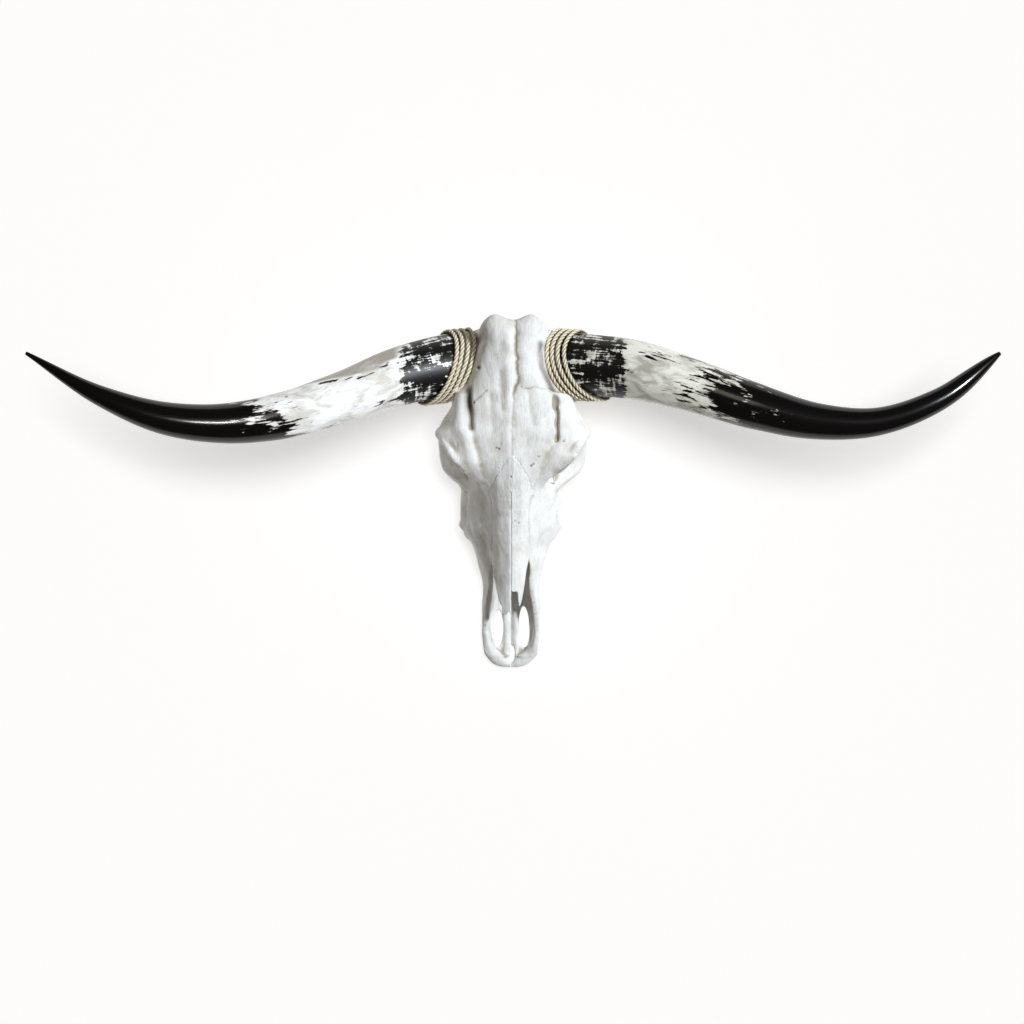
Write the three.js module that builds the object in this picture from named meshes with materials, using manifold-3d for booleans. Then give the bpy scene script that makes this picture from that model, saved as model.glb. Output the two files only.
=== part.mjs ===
// Longhorn steer skull without its lower jaw, lying on its cheek teeth and on the two
// bony prongs beside the neck joint, with polished horns bound to it by rope.
// Millimetres. X runs from horn tip to horn tip, Y from the muzzle to the poll (the
// ridge between the horns), Z up from the floor. The bones are worked out with Y = 0
// at the muzzle; the group then puts the middle of the skull's length over the origin.
import * as THREE from "three";
import { LoftGeometry } from "three/addons/geometries/LoftGeometry.js";
import { mergeVertices } from "three/addons/utils/BufferGeometryUtils.js";
import Module from "manifold-3d";

const wasm = await Module();
wasm.setup();

// Driving dimensions.
const SKULL_LENGTH = 446; // muzzle to poll
const HORN_SPREAD = 1193.8; // tip to tip, 47 inches
const HORN_TIP_BACK = 396; // both tips, measured from the muzzle
const HORN_TIP_HEIGHT = 207;
const HORN_TIP_RADIUS = 2.2;
const ROPE_RADIUS = 3.1;
const SEAM = 0.35; // gap between neighbouring bones
const SHEATH_GAP = 1.2; // horn sheath to the bone of its core, under the rope
const BONE_WALL = 6; // thickness of the bone round the nasal cavity
const CAVITY_DEPTH = 196; // how far back from the muzzle the nasal cavity is open
const LEFT = -1;
const RIGHT = 1;

// --- Working with closed meshes -------------------------------------------------

// A closed three.js geometry as a solid, turned round if its faces point inwards.
function solid(geometry) {
  const bare = geometry.index ? geometry.toNonIndexed() : geometry.clone();
  bare.deleteAttribute("normal");
  bare.deleteAttribute("uv");
  const merged = mergeVertices(bare, 1e-3);
  const corners = merged.index.array;
  const kept = [];
  for (let i = 0; i < corners.length; i += 3) {
    const [a, b, c] = [corners[i], corners[i + 1], corners[i + 2]];
    if (a !== b && b !== c && c !== a) kept.push([a, b, c]);
  }
  const build = (faces) =>
    new wasm.Manifold(
      new wasm.Mesh({
        numProp: 3,
        vertProperties: merged.attributes.position.array,
        triVerts: new Uint32Array(faces.flat()),
      }),
    );
  const made = build(kept);
  return made.volume() > 0 ? made : build(kept.map(([a, b, c]) => [a, c, b]));
}

// Joins a list of solids.
function join(solids) {
  return solids.reduce((whole, piece) => whole.add(piece));
}

// Cuts a list of solids away from one.
function cut(whole, solids) {
  return solids.reduce((rest, piece) => rest.subtract(piece), whole);
}

// The main body of a cut solid, without any sliver that a seam leaves beside it.
function mainBody(whole) {
  const bodies = whole.decompose();
  return bodies.reduce((best, body) => (body.volume() > best.volume() ? body : best));
}

// A named mesh of a solid, with its own material.
function meshOf(name, whole, look) {
  const { vertProperties, triVerts } = mainBody(whole).getMesh();
  const geometry = new THREE.BufferGeometry();
  geometry.setAttribute("position", new THREE.BufferAttribute(vertProperties, 3));
  geometry.setIndex(new THREE.BufferAttribute(triVerts, 1));
  geometry.computeVertexNormals();
  const mesh = new THREE.Mesh(geometry, new THREE.MeshStandardMaterial(look));
  mesh.name = name;
  return mesh;
}

// --- Shapes ---------------------------------------------------------------------

// Smooth curves through stations [position, value, value, ...].
function through(stations) {
  const places = stations.map((station) => station[0]);
  const values = stations.flatMap((station) => station.slice(1));
  const curve = new THREE.CubicInterpolant(places, values, stations[0].length - 1);
  return (place) => Array.from(curve.evaluate(place));
}

// A skin over rings of points, capped at both ends. A loft wants its rings to turn
// anticlockwise as seen from its far end, so rings that turn the other way are reversed.
function skin(rings) {
  const middle = (ring) => ring.reduce((sum, p) => sum.add(p), new THREE.Vector3());
  const onward = middle(rings[1]).sub(middle(rings[0]));
  const turning = new THREE.Vector3();
  rings[0].forEach((p, k) => {
    const next = rings[0][(k + 1) % rings[0].length];
    turning.add(new THREE.Vector3().crossVectors(p, next));
  });
  const ordered = turning.dot(onward) > 0 ? rings : rings.map((ring) => ring.toReversed());
  return solid(new LoftGeometry(ordered, { capStart: true, capEnd: true }));
}

// A body along Y. Each station is [y, half width, z of the widest level, top z,
// bottom z]; the section is a superellipse, rounder or squarer by its two powers.
function boneLoft(stations, { first, last, step, sides, topPower, bottomPower, inset = 0 }) {
  const shape = through(stations);
  const rings = [];
  const count = Math.round((last - first) / step);
  for (let i = 0; i <= count; i += 1) {
    const y = first + ((last - first) * i) / count;
    const [width, level, top, bottom] = shape(y);
    const ring = [];
    for (let k = 0; k < sides; k += 1) {
      const angle = (2 * Math.PI * (k + 0.5)) / sides;
      const [c, s] = [Math.cos(angle), Math.sin(angle)];
      const power = s > 0 ? topPower : bottomPower;
      const x = (width - inset) * Math.sign(c) * Math.abs(c) ** (2 / power);
      const reach = s > 0 ? top - inset - level : level - bottom - inset;
      const z = level + reach * Math.sign(s) * Math.abs(s) ** (2 / power);
      ring.push(new THREE.Vector3(x, y, z));
    }
    rings.push(ring);
  }
  return skin(rings);
}

// A bar of bone along a smooth path. Each station is [x, y, z, half thickness
// sideways, half height]; sideways is level and square to the path.
function bar(side, stations, sides = 6, steps = 1) {
  const points = stations.map(([x, y, z]) => new THREE.Vector3(side * x, y, z));
  const path = new THREE.CatmullRomCurve3(points);
  const sizes = through(stations.map(([, , , a, b], i) => [i, a, b]));
  const rings = [];
  const count = (stations.length - 1) * steps;
  for (let i = 0; i <= count; i += 1) {
    const centre = path.getPoint(i / count);
    const forward = path.getTangent(i / count);
    const level = new THREE.Vector3(forward.y, -forward.x, 0).normalize();
    const rise = new THREE.Vector3().crossVectors(level, forward).normalize();
    const [a, b] = sizes(i / steps);
    const ring = [];
    for (let k = 0; k < sides; k += 1) {
      const angle = (2 * Math.PI * (k + 0.5)) / sides;
      const out = level.clone().multiplyScalar(a * Math.cos(angle));
      ring.push(centre.clone().add(out).addScaledVector(rise, b * Math.sin(angle)));
    }
    rings.push(ring);
  }
  return skin(rings);
}

// A ball stretched to three radii, turned by rotations in radians.
function ball([x, y, z], [a, b, c], [tiltX, tiltY, tiltZ] = [0, 0, 0], fine = 8) {
  const geometry = new THREE.SphereGeometry(1, fine, Math.round(fine * 0.7));
  geometry.scale(a, b, c);
  geometry.rotateX(tiltX);
  geometry.rotateY(tiltY);
  geometry.rotateZ(tiltZ);
  geometry.translate(x, y, z);
  return solid(geometry);
}

// A box between two corners.
function block([x0, y0, z0], [x1, y1, z1]) {
  const geometry = new THREE.BoxGeometry(x1 - x0, y1 - y0, z1 - z0);
  geometry.translate((x0 + x1) / 2, (y0 + y1) / 2, (z0 + z1) / 2);
  return solid(geometry);
}

// An outline drawn in plan, [x, y], carried up from one height to another.
function planPrism(outline, bottom, top) {
  const shape = new THREE.Shape(outline.map(([x, y]) => new THREE.Vector2(x, y)));
  const settings = { depth: top - bottom, bevelEnabled: false };
  const geometry = new THREE.ExtrudeGeometry(shape, settings);
  geometry.translate(0, 0, bottom);
  return solid(geometry);
}

// An outline drawn from the side, [y, z], carried across the whole skull.
const HALF_WIDTH_OF_ALL = 130;
function sidePrism(outline) {
  const shape = new THREE.Shape(outline.map(([y, z]) => new THREE.Vector2(y, z)));
  const settings = { depth: 2 * HALF_WIDTH_OF_ALL, bevelEnabled: false };
  const geometry = new THREE.ExtrudeGeometry(shape, settings);
  geometry.translate(0, 0, -HALF_WIDTH_OF_ALL);
  geometry.rotateY(Math.PI / 2);
  geometry.rotateX(Math.PI / 2);
  return solid(geometry);
}

// --- Horns ----------------------------------------------------------------------

// Centre lines, [out from the midline, y, z], from inside the skull to the tip, and
// radii, [out from the midline, radius]. The two horns are a natural, unequal pair.
const HORN_ROOT = [
  [20, 388, 117],
  [44, 388, 123.5],
];
const HORNS = {
  [LEFT]: {
    line: [
      [79, 384.4, 137],
      [130.6, 373.4, 158],
      [205, 344.9, 183],
      [279, 320.3, 199],
      [353, 309.8, 208],
      [427, 316.3, 213],
      [501.5, 342.4, 214],
    ],
    radii: [
      [20, 40.5],
      [79, 40],
      [131, 37],
      [205, 32],
      [279, 28.9],
      [353, 24.6],
      [427, 20],
      [501, 12.8],
      [541, 8.4],
      [HORN_SPREAD / 2, HORN_TIP_RADIUS],
    ],
  },
  [RIGHT]: {
    line: [
      [79, 385.8, 137],
      [147.6, 378.8, 161],
      [222, 357.2, 183],
      [296, 331.4, 199],
      [369.6, 312.7, 208],
      [443.6, 311.6, 213],
      [518.2, 338, 214],
    ],
    radii: [
      [20, 40.5],
      [79, 39.5],
      [148, 37],
      [222, 32.6],
      [296, 28.4],
      [370, 22.6],
      [444, 17.4],
      [518, 14],
      [556, 11],
      [HORN_SPREAD / 2, HORN_TIP_RADIUS],
    ],
  },
};

const HORN_SIDES = 12;
const HORN_RINGS = 23;

// The centre line of one horn, core and sheath together, as a three.js curve.
function hornPath(side) {
  const tip = [HORN_SPREAD / 2 - HORN_TIP_RADIUS / 2, HORN_TIP_BACK, HORN_TIP_HEIGHT];
  const places = [...HORN_ROOT, ...HORNS[side].line, tip];
  const points = places.map(([out, y, z]) => new THREE.Vector3(side * out, y, z));
  return new THREE.CatmullRomCurve3(points, false, "centripetal");
}

// A point at an angle round the horn: 0 is towards the poll, a quarter turn is up.
function roundHorn(path, radiusAt, along, angle, clear = 0) {
  const centre = path.getPointAt(along);
  const forward = path.getTangentAt(along);
  const back = new THREE.Vector3(0, 1, 0);
  back.addScaledVector(forward, -back.dot(forward)).normalize();
  const rise = new THREE.Vector3().crossVectors(forward, back);
  if (rise.z < 0) rise.negate();
  const [radius] = radiusAt(Math.abs(centre.x));
  const reach = radius + clear;
  centre.addScaledVector(back, reach * Math.cos(angle));
  return centre.addScaledVector(rise, reach * Math.sin(angle));
}

// A stretch of the horn between two shares of its length. Its rings lean with the rope
// where the rope is, and the lean dies out in LEAN_FADE.
const LEAN_FADE = 0.12;
function hornStretch(side, start, end, rings, clear = 0) {
  const path = hornPath(side);
  const radiusAt = through(HORNS[side].radii);
  const sections = [];
  for (let i = 0; i <= rings; i += 1) {
    const along = start + ((end - start) * i) / rings;
    const ring = [];
    for (let k = 0; k < HORN_SIDES; k += 1) {
      const angle = (2 * Math.PI * k) / HORN_SIDES;
      const fade = Math.exp(-Math.abs(along - ropeMiddle(side)) / LEAN_FADE);
      const shift = (ropeLean(side, angle) * fade) / HORN_LENGTH;
      const place = Math.min(Math.max(along + shift, 0), 1);
      ring.push(roundHorn(path, radiusAt, place, angle, clear));
    }
    sections.push(ring);
  }
  return skin(sections);
}

// --- Rope -----------------------------------------------------------------------

// Each horn has four and a bit turns of rope, round the place where its sheath starts.
// The turns slant outwards on the muzzle side of the horn, ride up towards the poll
// over its top, and gather closer there. Lengths are along the horn.
const ROPE_TURNS = 4.25;
const STEPS_PER_TURN = 12;
const ROPE_SIDES = 6;
const ROPE_GAP = 1.3; // rope to horn
const HORN_LENGTH = 636; // of the whole centre line, core included
const ROPES = {
  [LEFT]: { middle: 69, slant: 21, lift: 10, pitch: 8.3, gather: 1.1 },
  [RIGHT]: { middle: 71.5, slant: 17, lift: 21.5, pitch: 8.5, gather: 1.3 },
};
const TURN_OVER = 0.2; // how gently the lift over the top begins and ends
const LIFT_PLACE = 0.3; // radians past the top, towards the muzzle, where it is greatest

const ropeMiddle = (side) => ROPES[side].middle / HORN_LENGTH;

// How far outwards the rope lies of its middle, at an angle round the horn.
function ropeLean(side, angle) {
  const { slant, lift } = ROPES[side];
  const up = Math.sin(angle - LIFT_PLACE);
  const overTop = (up + Math.hypot(up, TURN_OVER)) / 2;
  return -slant * Math.cos(angle) - lift * overTop;
}

function ropePath(side) {
  const { pitch, gather } = ROPES[side];
  const path = hornPath(side);
  const radiusAt = through(HORNS[side].radii);
  const points = [];
  const count = Math.round(ROPE_TURNS * STEPS_PER_TURN);
  for (let i = 0; i <= count; i += 1) {
    const turn = i / STEPS_PER_TURN;
    const angle = 2 * Math.PI * turn + Math.PI;
    const across = (turn - ROPE_TURNS / 2) * (pitch - gather * Math.sin(angle));
    const along = ropeMiddle(side) + (across + ropeLean(side, angle)) / HORN_LENGTH;
    points.push(roundHorn(path, radiusAt, along, angle, ROPE_RADIUS + ROPE_GAP));
  }
  return new THREE.CatmullRomCurve3(points);
}

function ropeTube(side, radius) {
  const shape = new THREE.Shape();
  for (let k = 0; k < ROPE_SIDES; k += 1) {
    const angle = (2 * Math.PI * k) / ROPE_SIDES;
    const [x, y] = [radius * Math.cos(angle), radius * Math.sin(angle)];
    if (k === 0) shape.moveTo(x, y);
    else shape.lineTo(x, y);
  }
  const steps = Math.round(ROPE_TURNS * STEPS_PER_TURN);
  const settings = { steps, bevelEnabled: false, extrudePath: ropePath(side) };
  return solid(new THREE.ExtrudeGeometry(shape, settings));
}

// --- Face -----------------------------------------------------------------------

// Muzzle and face in front of the eyes, [y, half width, widest level, top, bottom].
const FACE = [
  [14, 34, 36, 62, 19],
  [40, 37, 42, 76, 19],
  [72, 37.5, 46, 90, 19],
  [116, 39.5, 52, 105, 19],
  [142, 45, 58, 114, 18],
  [169, 56.5, 63, 124, 18],
  [189, 64, 66, 132, 18],
  [215, 64, 74, 144, 19],
  [238, 63, 88, 155, 22],
  [262, 58, 100, 165, 34],
  [300, 46, 108, 172, 56],
];
const FACE_TOP_POWER = 1.65;
const FACE_BOTTOM_POWER = 5;

function face(inset) {
  return boneLoft(FACE, {
    first: FACE[0][0],
    last: FACE[FACE.length - 1][0],
    step: 22,
    sides: 16,
    topPower: FACE_TOP_POWER,
    bottomPower: FACE_BOTTOM_POWER,
    inset,
  });
}

// The edge of the nasal opening and the seams of the side of the face, from the
// side, [y, z].
const OPENING_RIM = [
  [12, 33],
  [40, 40],
  [100, 72],
  [147, 97],
];
const MUZZLE_SEAM = [
  [58, -5],
  [62, 22],
  [100, 55],
  [147, 96.5],
  [147, 220],
];
const BROW_SEAM = [
  [262, -5],
  [258, 34],
  [216, 66],
  [206, 92],
  [229, 124],
  [229, 220],
];

// The plan of one nasal bone, [out from the midline, y], grown outwards by extra.
function nasalPlan(side, extra) {
  const edge = side === LEFT ? NASAL_LEFT : NASAL_RIGHT;
  const inner = SEAM / 2 - extra;
  const corners = edge.map(([out, y], i) => {
    const forward = i < edge.length / 3 ? -extra : extra;
    return [side * (out + extra), y + forward];
  });
  return [[side * inner, edge[0][1] - extra], ...corners, [side * inner, 268 + extra]];
}
const NASAL_LEFT = [
  [5, 72],
  [10.5, 71],
  [15, 84],
  [19, 101],
  [22, 118],
  [26, 147],
  [32, 182],
  [31, 212],
  [23, 240],
  [11, 257],
];
const NASAL_RIGHT = [
  [8, 99],
  [9.5, 82],
  [14, 90],
  [18, 108],
  [22, 130],
  [29, 152],
  [32, 182],
  [31, 212],
  [23, 240],
  [11, 257],
];

function nasal(side) {
  const plate = face(0).add(brow()).subtract(face(BONE_WALL));
  return plate.intersect(planPrism(nasalPlan(side, 0), 60, 220));
}

// Where the two nasal bones lie in the roof of the face, with the seam round them.
function nasalBed() {
  const beds = [LEFT, RIGHT].map((side) => planPrism(nasalPlan(side, 2 * SEAM), 60, 220));
  return join(beds).subtract(face(BONE_WALL + SEAM));
}

// A long oval hole through the palate, and the notch between the front plates.
function oval(x, y, halfWidth, halfLength, lean = 0) {
  const outline = [];
  for (let k = 0; k < 14; k += 1) {
    const angle = (2 * Math.PI * k) / 14;
    const along = halfLength * Math.sin(angle);
    outline.push([x + halfWidth * Math.cos(angle) + (lean * along) / halfLength, y + along]);
  }
  return planPrism(outline, -10, 60);
}

// --- Cheek teeth ----------------------------------------------------------------

// Three small front teeth and three large back ones on each side, in a shallow bow.
const TOOTH_LENGTHS = [14, 16, 17, 22, 25, 27];
const TOOTH_ROW_START = 121;
const TOOTH_HEIGHT = 40;
const TOOTH_MIDLINE = through([
  [121, 33],
  [150, 40],
  [190, 46],
  [242, 44],
]);
const TOOTH_HALF_WIDTH = through([
  [121, 6],
  [150, 8],
  [200, 10.5],
  [242, 9.5],
]);

function teeth(side) {
  let start = TOOTH_ROW_START;
  return TOOTH_LENGTHS.map((length) => {
    const middle = start + length / 2;
    const [x] = TOOTH_MIDLINE(middle);
    const [half] = TOOTH_HALF_WIDTH(middle);
    start += length;
    const reach = length / 2 + 0.2;
    const outline = [
      [side * (x - half), middle - reach * 0.55],
      [side * (x - half * 0.3), middle - reach],
      [side * (x + half * 0.75), middle - reach],
      [side * (x + half), middle - reach * 0.5],
      [side * (x + half * 0.86), middle],
      [side * (x + half), middle + reach * 0.5],
      [side * (x + half * 0.75), middle + reach],
      [side * (x - half * 0.3), middle + reach],
      [side * (x - half), middle + reach * 0.55],
    ];
    return planPrism(outline, 0, TOOTH_HEIGHT);
  });
}

// --- Brow, braincase and base ---------------------------------------------------

const BROW = [
  [206, 30, 121, 137, 104],
  [234, 54, 131, 153, 112],
  [257, 75, 140, 163, 120],
  [283, 88, 146, 173, 128],
  [299, 95, 149, 178, 132],
  [312, 91, 149, 181, 130],
  [339, 84, 146, 188, 122],
  [365, 76, 146, 194, 118],
  [390, 64, 150, 200, 122],
  [415, 53.5, 160, 203, 140],
  [432, 38, 172, 204, 156],
  [442, 24, 184, 201, 168],
  [444, 18, 187, 198, 174],
];
const BRAINCASE = [
  [276, 36, 104, 160, 66],
  [300, 46, 106, 168, 62],
  [330, 52, 110, 176, 60],
  [360, 58, 112, 184, 56],
  [390, 70, 112, 188, 54],
  [412, 78, 110, 194, 52],
  [426, 75, 108, 190, 54],
  [434, 58, 106, 172, 62],
];
const POLL_KNOB = { out: 21.5, y: SKULL_LENGTH - 18, z: 186, radii: [17, 18, 18] };
const ORBIT_CENTRE = [88, 271, 119];

// The bony ring round one eye socket, closed, leaning out towards the back.
function orbitRim(side) {
  const [, y, z] = ORBIT_CENTRE;
  const rings = [];
  const count = 14;
  for (let i = 0; i <= count; i += 1) {
    const turn = (2 * Math.PI * i) / count;
    const [forward, up] = [Math.cos(turn), Math.sin(turn)];
    const out = 84 - 9 * forward - 3 * up;
    const centre = new THREE.Vector3(side * out, y - 33 * forward, z + 31 * up);
    const radial = new THREE.Vector3(0, -forward, up);
    const ring = [];
    for (let k = 0; k < 6; k += 1) {
      const angle = (2 * Math.PI * k) / 6;
      const [deep, thick] = [8 * Math.cos(angle), 4.6 * Math.sin(angle)];
      const point = centre.clone().addScaledVector(radial, thick);
      point.x -= side * deep;
      ring.push(point);
    }
    rings.push(ring);
  }
  return solid(new LoftGeometry(rings));
}

// Cheekbone and arch, from the face crest past the eye socket to above the ear.
const CHEEK_ARCH = [
  [55, 178, 64, 7, 6],
  [58, 204, 73, 6.5, 9],
  [60, 228, 82, 5.5, 10],
  [74, 246, 87, 5.5, 9],
  [84, 268, 88, 5, 9],
  [90, 300, 90, 5, 9],
  [92, 330, 97, 4.5, 9],
  [86, 360, 104, 6, 9],
  [72, 388, 108, 9, 10],
];
const BEHIND_EYE = [
  [92, 298, 148, 5, 8],
  [93, 303, 124, 5, 7],
  [91, 304, 96, 5, 8],
];
const NECK_PRONG = [
  [60, 404, 84, 9, 12],
  [60, 400, 54, 6, 11],
  [56, 392, 24, 5, 9],
  [52, 386, -3, 3.5, 6],
];
const JAW_HINGE = [
  [52, 352, 84, 10, 9],
  [70, 350, 82, 11, 8],
  [86, 352, 92, 7, 9],
];
const BASE_BAR = [
  [0, 290, 66, 13, 9],
  [0, 340, 64, 14, 9],
  [0, 384, 62, 19, 11],
  [0, 420, 60, 17, 10],
];
const WING_PLATE = [
  [33, 236, 36, 5, 14],
  [22, 262, 44, 3.5, 20],
  [20, 290, 54, 3.5, 20],
  [24, 316, 66, 4, 12],
];
const EAR_TUBE = [
  [50, 384, 84, 8, 8],
  [66, 386, 88, 7, 7],
  [80, 388, 92, 6, 6],
];

function skullSide(side) {
  const at = (x, y, z) => [side * x, y, z];
  return [
    orbitRim(side),
    bar(side, CHEEK_ARCH),
    bar(side, BEHIND_EYE),
    bar(side, NECK_PRONG),
    bar(side, JAW_HINGE),
    bar(side, WING_PLATE),
    bar(side, EAR_TUBE),
    ball(at(22, 424, 62), [14, 17, 22], [0.3, 0, side * -0.35]),
    ball(at(33, 372, 50), [12, 19, 18]),
    ball(at(POLL_KNOB.out, POLL_KNOB.y, POLL_KNOB.z), POLL_KNOB.radii),
    ball(at(60, 188, 64), [7, 14, 8]),
    ball(at(66, 404, 108), [15, 20, 34]),
  ];
}

// The bony core of one horn, up to where the horn sheath starts under the rope.
const CORE_START = 0.045;
const CORE_SPARE = 0.02; // past the rope's middle, before the sheath's place is cut away
const CORE_RINGS = 5;
const CORE_CLEAR = 1; // millimetres between the core and the sheath round it
function hornCore(side) {
  const middle = ropeMiddle(side);
  const core = hornStretch(side, CORE_START, middle + CORE_SPARE, CORE_RINGS);
  const sheath = hornStretch(side, middle, middle + ROOM_OUTWARDS, CORE_RINGS, CORE_CLEAR);
  return core.subtract(sheath);
}

// The room that the rope and the horn take beside the skull, in shares of the horn.
const ROOM_INWARDS = 0.056;
const ROOM_OUTWARDS = 0.16;
const ROOM_SPARE = 1.8; // millimetres outside the rope
function hornRoom(side) {
  const room = 2 * ROPE_RADIUS + ROPE_GAP + ROOM_SPARE;
  const middle = ropeMiddle(side);
  return hornStretch(side, middle - ROOM_INWARDS, middle + ROOM_OUTWARDS, 4, room);
}

// Holes and hollows: eye sockets, mouth-side roof, throat, neck hole and the hollows
// in the nape.
function hollows(side) {
  const [x, y, z] = ORBIT_CENTRE;
  return [
    ball([side * (x + 6), y, z], [52, 28, 26.5], [0, side * 0.1, side * 0.2], 12),
    ball([side * 20, 441, 128], [15, 9, 24]),
    hornRoom(side),
  ];
}
const PALATE_VAULT = { centre: [0, 176, 12], radii: [30, 78, 17] };
const THROAT = [
  [0, 236, 40, 11, 11],
  [0, 270, 36, 13, 19],
  [0, 320, 22, 15, 30],
];
const NECK_HOLE = [
  [0, 385, 84, 15, 14],
  [0, 410, 84, 16, 15],
  [0, 450, 84, 19, 18],
];

function brow() {
  return boneLoft(BROW, {
    first: BROW[0][0],
    last: BROW[BROW.length - 1][0],
    step: 22,
    sides: 16,
    topPower: 2.1,
    bottomPower: 2,
  });
}

function wholeSkull() {
  const braincase = boneLoft(BRAINCASE, {
    first: BRAINCASE[0][0],
    last: BRAINCASE[BRAINCASE.length - 1][0],
    step: 26,
    sides: 12,
    topPower: 2.4,
    bottomPower: 2.4,
  });
  const pieces = [LEFT, RIGHT].flatMap(skullSide);
  const middle = [brow(), braincase, bar(1, BASE_BAR), face(0)];
  const { centre, radii } = PALATE_VAULT;
  const holes = [LEFT, RIGHT].flatMap(hollows);
  holes.push(ball(centre, radii), bar(1, THROAT), bar(1, NECK_HOLE, 10));
  const carved = cut(join([...middle, ...pieces]), holes);
  const rows = [LEFT, RIGHT].flatMap((side) => [hornCore(side), ...teeth(side)]);
  const ropeBeds = [LEFT, RIGHT].map((side) => ropeTube(side, ROPE_RADIUS + SEAM));
  const ground = block([-200, 0, -40], [200, SKULL_LENGTH, 0]);
  return cut(join([carved, ...rows]), [...ropeBeds, ground]);
}

// --- The bones, parted by thin seams --------------------------------------------

const shift = (line, by) => line.map(([y, z]) => [y + by, z]);

// The side-on region between two seams, each given from below upwards.
function regionBetween(front, back) {
  return sidePrism([...shift(front, SEAM / 2), ...shift(back, -SEAM / 2).reverse()]);
}

const AHEAD = [
  [-20, -5],
  [-20, 220],
];
const BEHIND = [
  [470, -5],
  [470, 220],
];
const halfSpace = {
  [LEFT]: block([-300, -30, -20], [-SEAM / 2, 480, 260]),
  [RIGHT]: block([SEAM / 2, -30, -20], [300, 480, 260]),
};

// The nasal cavity, open in front and above the muzzle.
function cavity() {
  const inside = face(BONE_WALL + SEAM).intersect(block([-90, 0, 0], [90, CAVITY_DEPTH, 240]));
  const top = [...OPENING_RIM, [147, 240], [-20, 240], [-20, 33]];
  return join([inside, sidePrism(top)]);
}

// The front plate of one premaxilla and the flat prong beside the midline.
const FRONT_PLATE = [
  [3, 7, 24.5, 6, 6.5],
  [14, 9, 25, 9.5, 7.5],
  [25, 16, 26, 10, 8],
  [31, 30, 28, 6, 9],
];
const MIDDLE_PRONG = [
  [6, 12, 24, 5.3, 5],
  [6, 50, 25, 5, 4],
  [6, 90, 28, 5, 4],
];

function premaxilla(side, shell) {
  const region = regionBetween(AHEAD, MUZZLE_SEAM);
  const plate = bar(side, FRONT_PLATE, 8, 2);
  const prong = bar(side, MIDDLE_PRONG);
  const wall = shell.intersect(region);
  return join([wall, plate, prong]).intersect(halfSpace[side]).intersect(region);
}

function maxilla(side, shell) {
  const region = regionBetween(MUZZLE_SEAM, BROW_SEAM);
  return shell.intersect(region).intersect(halfSpace[side]);
}

const BONE = { color: 0xe9e6dc, roughness: 0.75, metalness: 0 };
const HORN = { color: 0x17150f, roughness: 0.18, metalness: 0 };
const ROPE = { color: 0xd3c39b, roughness: 0.9, metalness: 0 };

function longhornSkull() {
  const group = new THREE.Group();
  const whole = wholeSkull();
  const fissures = [
    oval(-17.5, 52, 6.2, 25, -2),
    oval(17.5, 53, 6.2, 24, 2),
    oval(0, 12, 3, 10.5),
  ];
  const shell = cut(whole, [cavity(), nasalBed(), ...fissures]);
  const region = regionBetween(BROW_SEAM, BEHIND);
  group.add(meshOf("cranium", cut(whole, [nasalBed()]).intersect(region), BONE));
  for (const [side, name] of [
    [LEFT, "left"],
    [RIGHT, "right"],
  ]) {
    group.add(meshOf("maxilla_" + name, maxilla(side, shell), BONE));
    group.add(meshOf("premaxilla_" + name, cut(premaxilla(side, shell), fissures), BONE));
    group.add(meshOf("nasal_" + name, nasal(side), BONE));
    const start = ropeMiddle(side) + SHEATH_GAP / HORN_LENGTH;
    group.add(meshOf("horn_" + name, hornStretch(side, start, 1, HORN_RINGS), HORN));
    group.add(meshOf("rope_" + name, ropeTube(side, ROPE_RADIUS), ROPE));
  }
  group.position.y = -SKULL_LENGTH / 2;
  return group;
}

export default longhornSkull();
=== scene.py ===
import bpy
import numpy as np
from mathutils import Euler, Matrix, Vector


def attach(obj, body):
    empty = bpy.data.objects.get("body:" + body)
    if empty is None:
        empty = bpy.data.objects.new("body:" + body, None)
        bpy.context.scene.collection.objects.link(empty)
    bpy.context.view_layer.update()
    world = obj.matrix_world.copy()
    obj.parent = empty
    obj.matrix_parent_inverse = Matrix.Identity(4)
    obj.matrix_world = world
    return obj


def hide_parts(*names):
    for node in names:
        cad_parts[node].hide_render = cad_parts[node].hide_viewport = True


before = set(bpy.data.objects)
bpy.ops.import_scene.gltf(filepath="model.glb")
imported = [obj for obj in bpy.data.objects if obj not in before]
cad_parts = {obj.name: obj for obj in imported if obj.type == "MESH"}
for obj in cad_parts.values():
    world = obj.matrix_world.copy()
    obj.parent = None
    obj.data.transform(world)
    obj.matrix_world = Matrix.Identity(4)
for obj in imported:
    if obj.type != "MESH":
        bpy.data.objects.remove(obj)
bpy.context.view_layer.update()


# --- Floor, light and camera ------------------------------------------------------
# A pale floor that glows a little, a bright key light from high on the right that models
# the bone, a weak light overhead, a narrow spot for the glint on the left horn, and a
# wide sun that lights the floor alone. The camera looks straight down at the face, and
# the pale backdrop behind the floor's edge is seen by the camera only.

MM = 0.001
CAMERA_HEIGHT = 3.0
CAMERA_LENS = 80.3  # millimetres
SENSOR_WIDTH = 36
CAMERA_PLACE = (-0.0012, -0.0215)
FLOOR_REACH = 6.0
FLOOR_WHITE = "#F6F6F6"
FLOOR_GLOW = 0.45  # the white board gives off some light of its own, as a lit table does
BACKDROP_WHITE = "#F2F2F2"
ROOM_LIGHT = ("#F0E6DA", 0.085)
SUN_TILT = (-0.13, 0.06, 0)  # radians, so that the floor's shadows fall a little downwards


def linear(colour):
    """An sRGB hex value as linear red, green, blue and an alpha of one."""
    parts = np.array([int(colour[i : i + 2], 16) for i in (1, 3, 5)]) / 255
    low, high = parts / 12.92, ((parts + 0.055) / 1.055) ** 2.4
    return (*np.where(parts <= 0.04045, low, high).tolist(), 1.0)


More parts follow.
